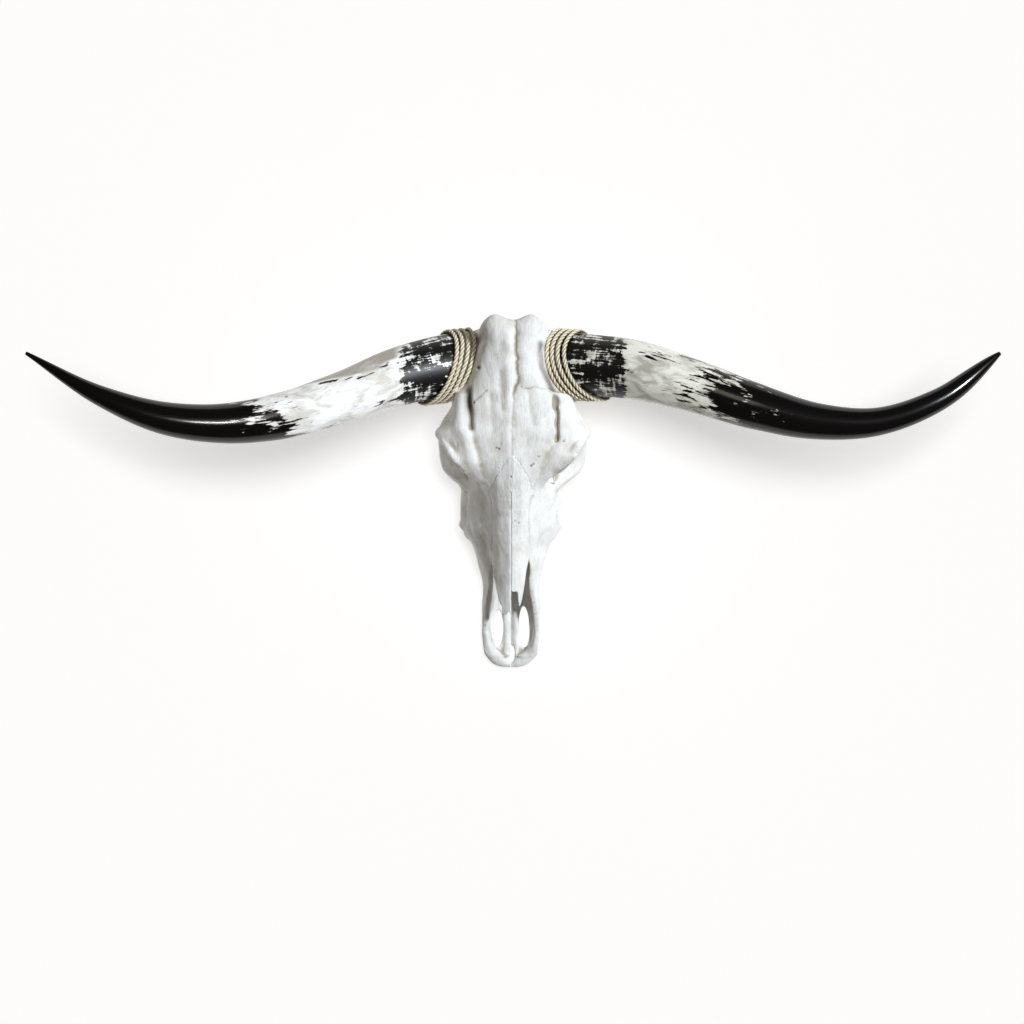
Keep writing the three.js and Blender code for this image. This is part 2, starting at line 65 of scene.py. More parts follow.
def new_material(name):
    """An empty node material and its Principled shader."""
    material = bpy.data.materials.new(name)
    material.use_nodes = True
    return material, material.node_tree.nodes["Principled BSDF"]


def feed(owner, node, **inputs):
    """Links or sets a node's sockets. A socket named in words with spaces is written with
    underscores; in0, in1 and so on mean its first, second and later sockets."""
    for key, value in inputs.items():
        place = int(key[2:]) if key[2:].isdigit() else key.replace("_", " ")
        if isinstance(value, bpy.types.NodeSocket):
            owner.node_tree.links.new(value, node.inputs[place])
        else:
            node.inputs[place].default_value = value


def add_node(owner, kind, settings=None, **inputs):
    """A new node of a material or world: settings are its own properties."""
    node = owner.node_tree.nodes.new("ShaderNode" + kind)
    for key, value in (settings or {}).items():
        setattr(node, key, value)
    feed(owner, node, **inputs)
    return node


def put_in_scene(item, name, place=(0, 0, 0)):
    """A Blender object that holds item, in the scene."""
    made = bpy.data.objects.new(name, item)
    made.location = place
    bpy.context.scene.collection.objects.link(made)
    return made


def light_only(made, state):
    """Has a light shine on the floor alone (INCLUDE) or on all but the floor (EXCLUDE)."""
    lit = bpy.data.collections.new(made.name + " lights")
    lit.objects.link(floor)
    lit.collection_objects[0].light_linking.link_state = state
    made.light_linking.receiver_collection = lit


def studio_light(kind, name, place, energy, colour, **settings):
    """A light in its place; settings are its own properties."""
    light = bpy.data.lights.new(name, kind)
    light.energy = energy
    light.color = linear(colour)[:3]
    for key, value in settings.items():
        setattr(light, key, value)
    return put_in_scene(light, name, place)


camera = put_in_scene(bpy.data.cameras.new("camera"), "camera", (*CAMERA_PLACE, CAMERA_HEIGHT))
camera.data.lens = CAMERA_LENS
camera.data.sensor_width = SENSOR_WIDTH
bpy.context.scene.camera = camera

floor_mesh = bpy.data.meshes.new("floor")
corners = [(-1, -1, 0), (1, -1, 0), (1, 1, 0), (-1, 1, 0)]
floor_mesh.from_pydata(np.array(corners) * FLOOR_REACH, [], [(0, 1, 2, 3)])
floor_board, floor_shader = new_material("painted board, matt white")
feed(
    floor_board, floor_shader, Base_Color=linear(FLOOR_WHITE), Roughness=0.9,
    Emission_Color=(1, 1, 1, 1), Emission_Strength=FLOOR_GLOW,
)
floor_mesh.materials.append(floor_board)
floor = put_in_scene(floor_mesh, "floor")

SKULL_LIGHTS = [  # kind, name, place, target, watts, colour and its other settings
    ("AREA", "key", (1.7, 0.5, 2.35), (0, 0, 0.12), 95, "#F1F8FF", {"shape": "DISK", "size": 0.4}),
    ("AREA", "overhead", (-0.1, 0.7, 2.9), (0, 0, 0.1), 6, "#FFF4E4", {"shape": "DISK", "size": 0.9}),
    ("SPOT", "glint", (-0.55, 0.2, 2.9), (-0.28, 0.1, 0.2), 70, "#FFFFFF",
     {"shadow_soft_size": 0.08, "spot_size": 0.2, "spot_blend": 0.8}),
]
for kind, name, place, target, watts, colour, settings in SKULL_LIGHTS:
    light = studio_light(kind, name, place, watts, colour, **settings)
    way = Vector(target) - light.location
    light.rotation_euler = way.to_track_quat("-Z", "Y").to_euler()
    light_only(light, "EXCLUDE")
sun = studio_light("SUN", "floor light", (0, 1, 3), 1.6, "#FFFFFF", angle=0.42)
sun.rotation_euler = SUN_TILT
light_only(sun, "INCLUDE")

world = bpy.data.worlds.new("studio")
world.use_nodes = True
room_light = world.node_tree.nodes["Background"]
feed(world, room_light, Color=linear(ROOM_LIGHT[0]), Strength=ROOM_LIGHT[1])
backdrop = add_node(world, "Background", Color=linear(BACKDROP_WHITE), Strength=1.0)
seen = add_node(
    world, "MixShader", in0=add_node(world, "LightPath").outputs["Is Camera Ray"],
    in1=room_light.outputs[0], in2=backdrop.outputs[0],
)
feed(world, world.node_tree.nodes["World Output"], Surface=seen.outputs[0])
bpy.context.scene.world = world
bpy.context.scene.view_settings.view_transform = "Standard"


# --- Cranium ----------------------------------------------------------------------
# The brow, eye sockets, cheek arches, braincase, horn cores and skull base, which are
# one fused bone in an old steer. Bone branches round holes, which a grid of two
# parameters can't do, so it is worked out as a distance field: numpy arrays over a box
# of points hold how far each is from the bone, and the skin is laid where that is zero.
# The bones are in millimetres from the muzzle, with Y towards the poll.

SKULL_MIDDLE = 223.0
SEAM = 0.3  # the open joint down the midline
LAP = -1.6  # other joints are grown together: their bones meet under the skin
BONE_WALL = 6.0
BOX_MARGIN = 9.0  # how far beyond a shape its distance is worked out


def curves(table, at):
    """The smooth curves through a table's rows [place, value, value, ...]. Between two
    rows each value is the cubic that meets both with the slopes of their neighbours."""
    rows = np.asarray(table, float)
    places, values = rows[:, 0], rows[:, 1:]
    slopes = np.gradient(values, places, axis=0)
    at = np.clip(np.asarray(at, float), places[0], places[-1])
    k = np.clip(np.searchsorted(places, at) - 1, 0, len(places) - 2)
    width = places[k + 1] - places[k]
    t = (at - places[k]) / width
    first, second = 2 * t**3 - 3 * t**2 + 1, 3 * t**2 - 2 * t**3
    rise, fall = (t**3 - 2 * t**2 + t) * width, (t**3 - t**2) * width
    return [
        (first * v[k] + second * v[k + 1] + rise * s[k] + fall * s[k + 1]).astype(np.float32)
        for v, s in zip(values.T, slopes.T)
    ]


def lengths_along(points):
    """How far along a line of points each of them is."""
    return np.concatenate([[0], np.cumsum(np.linalg.norm(np.diff(points, axis=0), axis=1))])


def unit(vectors):
    """The vectors, each made one long."""
    return vectors / np.linalg.norm(vectors, axis=-1, keepdims=True)


def soft_least(a, b, blend):
    """The smaller of two distances, with a fillet as wide as blend where they are alike."""
    near = np.maximum(blend - np.abs(a - b), 0) / blend
    return np.minimum(a, b) - near * near * (blend / 4)


def soft_most(a, b, blend):
    """The larger of two distances, with the same fillet."""
    return -soft_least(-a, -b, blend)


def ease(at, start, end):
    """Zero before start, one after end, and an S-curve between them."""
    t = np.clip((at - start) / (end - start), 0, 1)
    return t * t * (3 - 2 * t)


class Block:
    """A box of points, each with its distance to the bone, negative inside."""

    def __init__(self, low, high, step):
        self.low = np.array(low, float)
        self.step = step
        self.axes = [np.arange(a, b, step, dtype=np.float32) for a, b in zip(low, high)]
        self.values = np.full([len(axis) for axis in self.axes], 99.0, np.float32)

    def within(self, low, high):
        """The slices of the points in a smaller box, and their open grids."""
        spans = tuple(
            slice(*np.searchsorted(axis, (a, b))) for axis, a, b in zip(self.axes, low, high)
        )
        return spans, np.ix_(*(axis[span] for axis, span in zip(self.axes, spans)))

    def grids(self):
        """The open grids of all its points."""
        return np.ix_(*self.axes)

    def join(self, shape, blend, sign=1):
        """Adds a shape, with a fillet as wide as blend. A shape is the low and high corner
        of the box that it can reach and the function of its distance."""
        low, high, distance = shape
        spans, grids = self.within(low, high)
        if self.values[spans].size:
            field = soft_least(sign * self.values[spans], distance(*grids), blend)
            self.values[spans] = sign * field

    def cut(self, shape, blend):
        """Takes a shape away: what lies outside the bone gains it."""
        self.join(shape, blend, -1)


def loft(table, top_power, bottom_power, inset=0.0):
    """A body along Y. Each row is [y, half width, widest level, top, bottom]; a section
    is a superellipse: |x / half width| ^ power + |height / reach| ^ power = 1."""
    rows = np.array(table, float)
    span = rows[-1, 0] - rows[0, 0]

    def distance(x, y, z):
        width, level, top, bottom = curves(rows, y)
        above = z > level
        reach = np.where(above, top - level, level - bottom) - inset
        power = np.where(above, top_power, bottom_power).astype(np.float32)
        across, up = np.abs(x) / (width - inset), np.abs(z - level) / reach
        share = (across**power + up**power) ** (1 / power) + 1e-6
        far = np.sqrt(x**2 + (z - level) ** 2)
        body = far - far / share
        ends = np.abs(y - rows[0, 0] - span / 2) - span / 2
        return soft_most(body, ends + 0 * body, 6.0)

    wide = rows[:, 1].max()
    near = np.array((-wide, rows[0, 0], rows[:, 4].min())) - BOX_MARGIN
    return near, np.array((wide, rows[-1, 0], rows[:, 3].max())) + BOX_MARGIN, distance


def bar(side, stations, margin=BOX_MARGIN):
    """A bar along a smooth path. Each row is [x, y, z, half thickness sideways, half
    height]; the distance is to the nearest of its short straight lengths, each an
    ellipse across, with a rounded end."""
    rows = np.array(stations, float)
    rows[:, 0] *= side
    count = len(rows)
    table = np.column_stack([np.arange(count), rows])
    fine = np.array(curves(table, np.linspace(0, count - 1, 3 * count - 2))).T

    def distance(x, y, z):
        best = np.float32(99)
        for start, stop in zip(fine[:-1], fine[1:]):
            length = np.linalg.norm(stop[:3] - start[:3])
            ahead = (stop[:3] - start[:3]) / length
            flat = np.array([ahead[1], -ahead[0], 0]) / np.hypot(ahead[0], ahead[1])
            rise = np.cross(flat, ahead)
            dx, dy, dz = x - start[0], y - start[1], z - start[2]
            along = dx * ahead[0] + dy * ahead[1] + dz * ahead[2]
            share = np.clip(along / length, 0, 1)
            beyond = along - share * length
            across = dx * flat[0] + dy * flat[1]
            up = dx * rise[0] + dy * rise[1] + dz * rise[2]
            a = start[3] + share * (stop[3] - start[3])
            b = start[4] + share * (stop[4] - start[4])
            cap = np.minimum(a, b)
            far = np.sqrt(across**2 + up**2 + beyond**2)
            ratio = np.sqrt((across / a) ** 2 + (up / b) ** 2 + (beyond / cap) ** 2) + 1e-6
            best = np.minimum(best, far - far / ratio)
        return best

    pad = fine[:, 3:].max() + margin
    return fine[:, :3].min(0) - pad, fine[:, :3].max(0) + pad, distance


def ball(centre, radii, turn=(0, 0, 0)):
    """An ellipsoid, turned about X, then Y, then Z, in radians."""
    matrix = np.array(Euler(turn).to_matrix())
    pad = max(radii) + BOX_MARGIN

    def distance(x, y, z):
        d = (x - centre[0], y - centre[1], z - centre[2])
        own = [sum(matrix[i, k] * d[i] for i in range(3)) for k in range(3)]
        far = np.sqrt(own[0] ** 2 + own[1] ** 2 + own[2] ** 2)
        ratio = np.sqrt(sum((o / r) ** 2 for o, r in zip(own, radii))) + 1e-6
        return (far - far / ratio).astype(np.float32)

    return np.array(centre) - pad, np.array(centre) + pad, distance


def skin(block, region):
    """The points and four-sided faces where the block's bone ends, inside a region: one
    point in each small cube that the surface crosses, at the mean of its crossings, and
    one face round each crossed edge between cubes. Also how deep each point lies inside
    the region, in millimetres."""
    values = np.maximum(block.values, region)
    shape = np.array(values.shape)
    cells, places, faces = [], [], []
    for axis, (u, v) in enumerate([(1, 2), (2, 0), (0, 1)]):
        head = [slice(None)] * 3
        tail = [slice(None)] * 3
        head[axis], tail[axis] = slice(0, -1), slice(1, None)
        a, b = values[tuple(head)], values[tuple(tail)]
        at = np.argwhere((a < 0) != (b < 0))
        here, there = a[tuple(at.T)], b[tuple(at.T)]
        point = at.astype(np.float32)
        point[:, axis] += here / (here - there)
        step_u, step_v = np.eye(3, dtype=int)[u], np.eye(3, dtype=int)[v]
        ring = np.stack([at, at - step_u, at - step_u - step_v, at - step_v], 1)
        ring[here > 0] = ring[here > 0][:, ::-1]
        index = np.ravel_multi_index(tuple(ring.reshape(-1, 3).T), shape, mode="clip")
        cells.append(index)
        places.append(np.repeat(point, 4, 0))
    cells, places = np.concatenate(cells), np.concatenate(places)
    names, place_of = np.unique(cells, return_inverse=True)
    count = np.bincount(place_of)
    points = np.stack([np.bincount(place_of, p) / count for p in places.T], 1)
    depth = -(region + 0 * block.values)[np.unravel_index(names, shape)]
    return block.low + points * block.step, place_of.reshape(-1, 4), depth


def neighbours_mean(values, quads):
    """For each point, the mean of a value over the points it shares a face edge with."""
    start, stop = quads.ravel(), np.roll(quads, -1, 1).ravel()
    both = np.concatenate([start, stop]), np.concatenate([stop, start])
    count = np.bincount(both[0], minlength=len(values))
    sums = [np.bincount(both[0], v[both[1]], len(values)) for v in values.T]
    return np.stack(sums, 1) / np.maximum(count, 1)[:, None]


def normals(points, quads):
    """Unit normals at the points: the sum of the cross products of the diagonals of the
    faces round each, scaled to one."""
    a, b, c, d = (points[quads[:, k]] for k in range(4))
    across = np.cross(c - a, d - b)
    sums = [
        sum(np.bincount(quads[:, k], part, len(points)) for k in range(4)) for part in across.T
    ]
    whole = np.stack(sums, 1)
    return whole / (np.linalg.norm(whole, axis=1, keepdims=True) + 1e-12)


LATTICE_SIZE = 32
LATTICE_SHIFT = 1000  # keeps every place on it positive


def rough(points, size, seed):
    """A smooth random value from -1 to 1 at each point: random numbers on a lattice with
    that spacing, blended by an S-curve along each axis."""
    lattice = np.random.default_rng(seed).uniform(-1, 1, [LATTICE_SIZE] * 3)
    p = points / np.asarray(size, float) + LATTICE_SHIFT
    low = np.floor(p).astype(int)
    t = ease(p - low, 0, 1)
    total = 0
    for corner in np.ndindex(2, 2, 2):
        i, j, k = ((low[:, d] + corner[d]) % LATTICE_SIZE for d in range(3))
        share = [t[:, d] if corner[d] else 1 - t[:, d] for d in range(3)]
        total = total + lattice[i, j, k] * share[0] * share[1] * share[2]
    return total


def mesh_piece(name, points, quads, material, marks):
    """A smooth-shaded object of those points, in millimetres from the muzzle, and faces.
    marks are named values at the points, one number or three each."""
    mesh = bpy.data.meshes.new(name)
    placed = (points - (0, SKULL_MIDDLE, 0)) * MM
    sides = quads.shape[1]
    mesh.vertices.add(len(points))
    mesh.vertices.foreach_set("co", placed.astype(np.float32).ravel())
    mesh.loops.add(quads.size)
    mesh.loops.foreach_set("vertex_index", quads.astype(np.int32).ravel())
    mesh.polygons.add(len(quads))
    mesh.polygons.foreach_set("loop_start", np.arange(0, quads.size, sides, dtype=np.int32))
    mesh.update(calc_edges=True)
    mesh.validate()
    mesh.polygons.foreach_set("use_smooth", np.ones(len(mesh.polygons), bool))
    for key, value in marks.items():
        three = np.ndim(value) == 2
        layer = mesh.attributes.new(key, "FLOAT_VECTOR" if three else "FLOAT", "POINT")
        layer.data.foreach_set("vector" if three else "value", value.astype(np.float32).ravel())
    mesh.materials.append(material)
    return put_in_scene(mesh, name)


# The horns' centre lines, [out, y, z], and radii, [out, radius], which their cores
# inside the skull share, and how the rope lies on them.
HORN_LINE = {
    -1: [
        [20, 388, 117], [44, 388, 123.5], [79, 384.4, 137], [130.6, 373.4, 158], [205, 344.9, 183],
        [279, 320.3, 199], [353, 309.8, 208], [427, 316.3, 213], [501.5, 342.4, 214],
        [595.8, 396, 207],
    ],
    1: [
        [20, 388, 117], [44, 388, 123.5], [79, 385.8, 137], [147.6, 378.8, 161], [222, 357.2, 183],
        [296, 331.4, 199], [369.6, 312.7, 208], [443.6, 311.6, 213], [518.2, 338, 214],
        [595.8, 396, 207],
    ],
}
HORN_RADII = {
    -1: [
        [20, 40.5], [79, 40], [131, 37], [205, 32], [279, 28.9], [353, 24.6], [427, 20], [501, 12.8],
        [541, 8.4], [585, 3.4], [597, 2.0],
    ],
    1: [
        [20, 40.5], [79, 39.5], [148, 37], [222, 32.6], [296, 28.4], [370, 22.6], [444, 17.4],
        [518, 14], [556, 11], [585, 5.4], [597, 2.0],
    ],
}
LINE_POINTS = 900
ROPES = {
    -1: {"middle": 70.5, "slant": 21, "lift": 10, "pitch": 8.3, "gather": 1.1},
    1: {"middle": 71.5, "slant": 17, "lift": 21.5, "pitch": 8.5, "gather": 1.3},
}
ROPE_RADIUS = 3.0
ROPE_TURNS = 4.25
ROOT_START, ROOT_END = 50, 110  # lengths along the horn, between which it is nearly straight
LIFT_START = 0.3  # the angle round the horn above which the rope lifts towards the poll


def rope_lean(side, angle):
    """How far outwards along the horn the rope lies of its middle: a cosine slant, and
    over the top of the horn a lift towards the poll."""
    up = np.sin(angle - LIFT_START)
    over_top = (up + np.hypot(up, 0.2)) / 2
    return -ROPES[side]["slant"] * np.cos(angle) - ROPES[side]["lift"] * over_top


def centre_line(side):
    """The horn's centre line: how far along it each of its points is, the points, and
    the horn's radius at them."""
    points = np.array(HORN_LINE[side], float) * (side, 1, 1)
    chord = lengths_along(points)
    fine = np.linspace(0, chord[-1], LINE_POINTS)
    line = np.stack(curves(np.column_stack([chord, points]), fine), 1).astype(float)
    return lengths_along(line), line, curves(HORN_RADII[side], np.abs(line[:, 0]))[0]


def round_horn(side, along, angle, clear):
    """Points at a length along the horn and an angle round it, that clear of its surface:
    0 is towards the poll and a quarter turn is up. Centre + reach x (cos, sin) on the
    two directions square to the centre line."""
    places, line, radius = centre_line(side)
    ahead = np.gradient(line, places, axis=0)
    centre, forward = (
        np.stack([np.interp(along, places, v) for v in values.T], -1) for values in (line, ahead)
    )
    forward = unit(forward)
    back = unit(np.array([0, 1.0, 0]) - forward * forward[..., 1:2])
    rise = np.cross(forward, back)
    rise *= np.sign(rise[..., 2:3])
    reach = (np.interp(along, places, radius) + clear)[..., None]
    angle = np.asarray(angle)[..., None]
    return centre + reach * (back * np.cos(angle) + rise * np.sin(angle))


def horn_root(side, clear, start, stop):
    """The horn near the skull as a straight round body: all that is nearer its middle
    line than its radius and a clearance, from start to stop along it. All three are
    functions of the angle round the horn, so that its ends can follow the rope."""
    places, line, radius = centre_line(side)
    base = np.array([np.interp(ROOT_START, places, v) for v in line.T])
    ahead = unit(np.array([np.interp(ROOT_END, places, v) for v in line.T]) - base)
    back = unit(np.array([0, 1, 0]) - ahead * ahead[1])
    rise = np.cross(ahead, back)
    rise *= np.sign(rise[2])

    def distance(x, y, z):
        d = (x - base[0], y - base[1], z - base[2])
        along, behind, up = (sum(v[k] * d[k] for k in range(3)) for v in (ahead, back, rise))
        along = along + ROOT_START
        angle = np.arctan2(up, behind)
        wall = np.hypot(behind, up) - np.interp(along, places, radius) - clear(angle)
        ends = np.maximum(start(angle) - along, along - stop(angle))
        return soft_most(wall, ends, 1.0).astype(np.float32)

    low, high = sorted([side * 4, side * 125])
    return (low, 330, 60), (high, 446, 214), distance


# Muzzle and face in front of the eyes, then the roof of the brow, then the braincase.
FACE = [
    [14, 34, 36, 62, 19],
    [40, 37, 42, 76, 19],
    [72, 37.5, 46, 90, 19],
    [116, 37.8, 52, 105, 19],
    [130, 41.5, 55, 110, 18.5],
    [143, 44.5, 58, 114, 18],
    [157, 48.5, 61, 119, 18],
    [171, 56, 63, 125, 18],
    [181, 60.5, 65, 129, 18],
    [193, 61.5, 67, 134, 18],
    [215, 62.5, 74, 144, 19],
    [238, 61, 88, 155, 22],
    [262, 56, 100, 165, 34],
    [300, 46, 108, 172, 56],
]
BROW = [
    [206, 20, 119, 133, 104],
    [232, 40, 128, 150, 112],
    [246, 54, 136, 158, 116],
    [258, 67, 140, 164, 120],
    [272, 78, 144, 169, 124],
    [285, 87, 146, 173, 128],
    [299, 96, 142, 178, 126],
    [312, 93, 140, 181, 124],
    [323, 87, 140, 184, 122],
    [339, 79, 140, 188, 120],
    [365, 70, 144, 194, 118],
    [390, 58.5, 150, 200, 122],
    [415, 55, 160, 203, 140],
    [432, 43, 170, 201, 156],
    [442, 26, 182, 196, 168],
]
BRAINCASE = [
    [276, 36, 104, 160, 66],
    [300, 46, 106, 168, 62],
    [330, 50, 110, 176, 60],
    [360, 56, 112, 184, 56],
    [390, 68, 112, 188, 54],
    [412, 72, 110, 186, 52],
    [426, 56, 108, 180, 56],
    [436, 34, 108, 160, 64],
]
POLL_KNOB = ((21.5, 425, 186), (17, 18, 16))
EYE = (88, 271, 119)
CHEEK_ARCH = [
    [54, 172, 60, 5, 4],
    [58, 190, 66, 6, 6],
    [58.5, 210, 75, 5.5, 9],
    [60, 232, 84, 5, 9.5],
    [73.5, 244, 87, 5, 8],
    [82.5, 253, 88, 4.8, 8],
    [87, 263, 88, 4.6, 8],
    [89.5, 281, 89, 4.4, 8],
    [88, 301, 91, 4, 8],
    [79.5, 330, 102, 3.6, 8],
    [76, 360, 104, 5, 8],
    [68, 388, 108, 9, 10],
]
BEHIND_EYE = [[90, 298, 146, 4, 7], [92, 302, 124, 4, 6], [89, 303, 98, 4, 8]]
NECK_PRONG = [[61, 404, 84, 8, 12], [60, 401, 54, 5, 11], [56, 393, 24, 4, 8], [52, 387, 1, 3, 5]]
JAW_HINGE = [[52, 352, 86, 9, 8], [70, 350, 82, 11, 6], [86, 352, 92, 6, 8]]
BASE_BAR = [[0, 290, 67, 11, 8], [0, 340, 65, 13, 8], [0, 384, 62, 18, 10], [0, 420, 60, 17, 9]]
WING_PLATE = [[33, 236, 36, 4, 13], [22, 262, 42, 2.6, 19], [19, 290, 53, 2.6, 20], [23, 316, 66, 3, 12]]
EAR_TUBE = [[50, 384, 86, 8, 8], [66, 386, 89, 6.5, 6.5], [80, 389, 93, 5, 5]]
THROAT = [[0, 236, 40, 11, 11], [0, 270, 38, 13, 18], [0, 320, 22, 15, 32]]
NECK_HOLE = [[0, 385, 84, 15, 14], [0, 410, 84, 16, 15], [0, 450, 84, 19, 18]]
BROW_GROOVE = {
    -1: [[55.2, 352, 180, 3.1, 5], [54.6, 338, 179, 3.8, 8.5], [53, 322, 178.5, 4.4, 9],
         [52.4, 306, 176.5, 3.6, 6.5]],
    1: [[51.6, 346, 180.5, 3.2, 4], [53.8, 339, 178.5, 5.8, 7], [53, 331, 178, 4.6, 7.5],
        [55.4, 322, 177, 3.4, 7.5], [54.2, 311, 176, 4.2, 7.5], [55.2, 300, 174, 3.5, 7],
        [54.4, 289, 171, 2.8, 6]],
}
# How dark the floor of each brow groove is painted: painted shade, strongest on the left
GROOVE_PAINTED_SHADE = {-1: 0.95, 1: 0.3}
EYE_RIM = [
    [92, 300, 143], [84, 287, 155], [76, 273, 158], [66, 260, 153], [56, 250, 142], [52, 241, 124],
    [61, 239, 104], [75, 248, 94], [84, 264, 90], [89, 284, 92], [91, 297, 104], [92.5, 301, 122],
    [92, 300, 143],
]
SOCKET_SLIT = [
    [85, 292, 128, 4, 14], [81, 278, 126, 4.5, 16], [75, 266, 124, 4.5, 15], [68, 257, 120, 4.5, 12],
    [61, 248, 114, 3.5, 8],
]
CHEEK_FLOOR = [
    [56, 236, 98, 9, 8], [66, 248, 95, 12, 7], [73, 264, 93, 12, 5], [79, 284, 92, 10, 5],
    [83, 299, 93, 7, 4],
]
FACE_POWERS = (1.65, 5.0)  # a rounded roof over a boxy palate
BROW_POWERS = (2.15, 2.0)
BRAINCASE_POWERS = (2.4, 2.4)
RIM_HALF = 4.4


def eye_rim(side):
    """The bony ring round one eye socket."""
    rows = np.array(EYE_RIM, float)
    return bar(side, np.column_stack([rows, 0 * rows[:, :2] + RIM_HALF]), 6)


def mound(distance, width):
    """A smooth bump across a line: one on it, fading out over about that width."""
    return np.exp(-((distance / width) ** 2))


def away_from(x, y, path):
    """Distance in plan to a line through [x, y] points."""
    best = 1e9
    for (ax, ay), (bx, by) in zip(path[:-1], path[1:]):
        dx, dy = bx - ax, by - ay
        share = np.clip(((x - ax) * dx + (y - ay) * dy) / (dx * dx + dy * dy), 0, 1)
        best = np.minimum(best, np.hypot(x - ax - share * dx, y - ay - share * dy))
    return best


def wander(y, size=1.0):
    """The small sideways wandering of a joint between bones."""
    fine = 0.5 * np.sin(y / 2.3 + 1.4 * np.sin(y / 6.1)) + 0.3 * np.sin(y / 1.17 + 2)
    return size * (0.8 * np.sin(y / 7.3 + 0.6 * np.sin(y / 3.9)) + fine)


MIDDLE_JOINT = [
    [-0.2, 225], [-0.4, 242.3], [-0.8, 273.2], [-0.4, 319], [1.2, 346.6], [7.3, 362.2], [4.2, 380.8],
    [5.8, 391.3], [3.5, 430.2], [2, 446],
]
FLANK_VALLEY = {
    -1: [[-53, 306], [-51.2, 302], [-46, 287], [-41.2, 273.2], [-36, 246], [-30, 222]],
    1: [[54, 292], [50, 282], [43.3, 273.2], [38, 258], [35.9, 245.3], [30, 222]],
}
FLANK_RIDGE = {
    -1: [[-67, 348], [-68, 322], [-66, 305], [-59, 288], [-51, 262]],
    1: [[64, 345], [64, 318], [62, 300], [56, 284], [50, 268]],
}
FLANK_RISE = {-1: 6.5, 1: 3.0}
TEMPLE_CREST = [[289, 92], [300, 81], [315, 71], [335, 70], [350, 70]]  # [y, out]
TEMPLE_FALL = {-1: 7.5, 1: 5}
HOLLOWS = [[[-13.5, 372], [-13.5, 330]], [[20, 350], [26, 310]], [[-28, 345], [-24, 300]]]
BROW_CRACK = [[9.9, 356], [17, 354.4], [26, 355], [34, 353], [42, 352.3], [50, 347]]


def middle_joint(x, y):
    """Sideways distance from the joint down the middle of the brow and nose."""
    line = np.array(MIDDLE_JOINT, float)
    return x - np.interp(y, line[:, 1], line[:, 0]) - wander(y, 0.5 + 0.5 * ease(y, 300, 350))


def relief(x, y):
    """Height added to the top of the brow: the ridge and joint down its middle, shallow
    valleys beside them, the swellings over the eyes, and the two long valleys that run
    from the brow grooves to the nose."""
    upper = ease(y, 335, 358) * (1 - ease(y, 418, 436))
    height = 1.9 * mound(x + 6.2 + wander(y, 0.9), 6.0) * ease(y, 240, 290) * (1 - ease(y, 420, 440))
    height = height - (0.7 + 2.0 * upper) * mound(middle_joint(x, y), 1.8 + 2.6 * upper) * ease(y, 245, 275)
    height = height - 4.5 * mound(x - 1, 13) * ease(y, 420, 446)
    height = height - 5 * mound(np.hypot(x + 39, y - 418), 13)
    for path in HOLLOWS:
        height = height - 1.6 * mound(away_from(x, y, path), 5.5)
    for side in (-1, 1):
        fade = ease(y, 222, 250)
        height = height - 2.8 * mound(away_from(x, y, FLANK_VALLEY[side]), 4.5) * fade
        height = height + FLANK_RISE[side] * mound(away_from(x, y, FLANK_RIDGE[side]), 9) * fade
        crest = np.interp(y, *np.array(TEMPLE_CREST, float).T)
        beyond = ease(side * x - crest, -1, 13) * ease(y, 298, 314) * (1 - ease(y, 340, 358))
        height = height - TEMPLE_FALL[side] * beyond
    return height


def face_relief(x, y):
    """Height added to the roof of the face: it falls away in a shallow trough on each
    side of the nose and flattens out over the cheek."""
    along = ease(y, 128, 165) * (1 - ease(y, 228, 262))
    trough = -3.5 * mound(np.abs(x) - 33, 11) * along
    crest = 1.5 * mound(np.abs(x) - 56, 8) * along
    flank = -4.2 * ease(np.abs(x + 1), 13, 27) * ease(y, 112, 150) * (1 - ease(y, 236, 268))
    return trough + flank + crest + 1.2 * mound(x + 1.5, 5) * ease(y, 100, 150)


PITS = [  # [x, y, size]
    [-42.5, 379.5, 1.9], [-48.6, 336.5, 1.3], [-17.4, 279.8, 1.2], [-20.4, 281, 0.8],
    [23.5, 259.0, 1.2], [26.0, 261.2, 1.0], [63, 289.5, 1.0], [31.9, 270, 0.9],
    [-16.6, 255.8, 0.9], [-1.2, 245, 1.1], [9.5, 187.5, 1.2], [4.2, 190.5, 0.9],
]
SCRATCH = [[-48.6, 337], [-31.9, 352]]
ROPE_PAINTED_SHADOW = [[34, 408], [34.2, 395], [35.6, 380], [42, 367], [49, 353]]  # painted shadow of the right rope: a dark band on the bone beside it
EYE_EDGE = [[90, 285], [81.3, 271.5], [70, 260], [60, 252.5]]
EDGE_HATCH = {-1: 0.3, 1: 0.6}


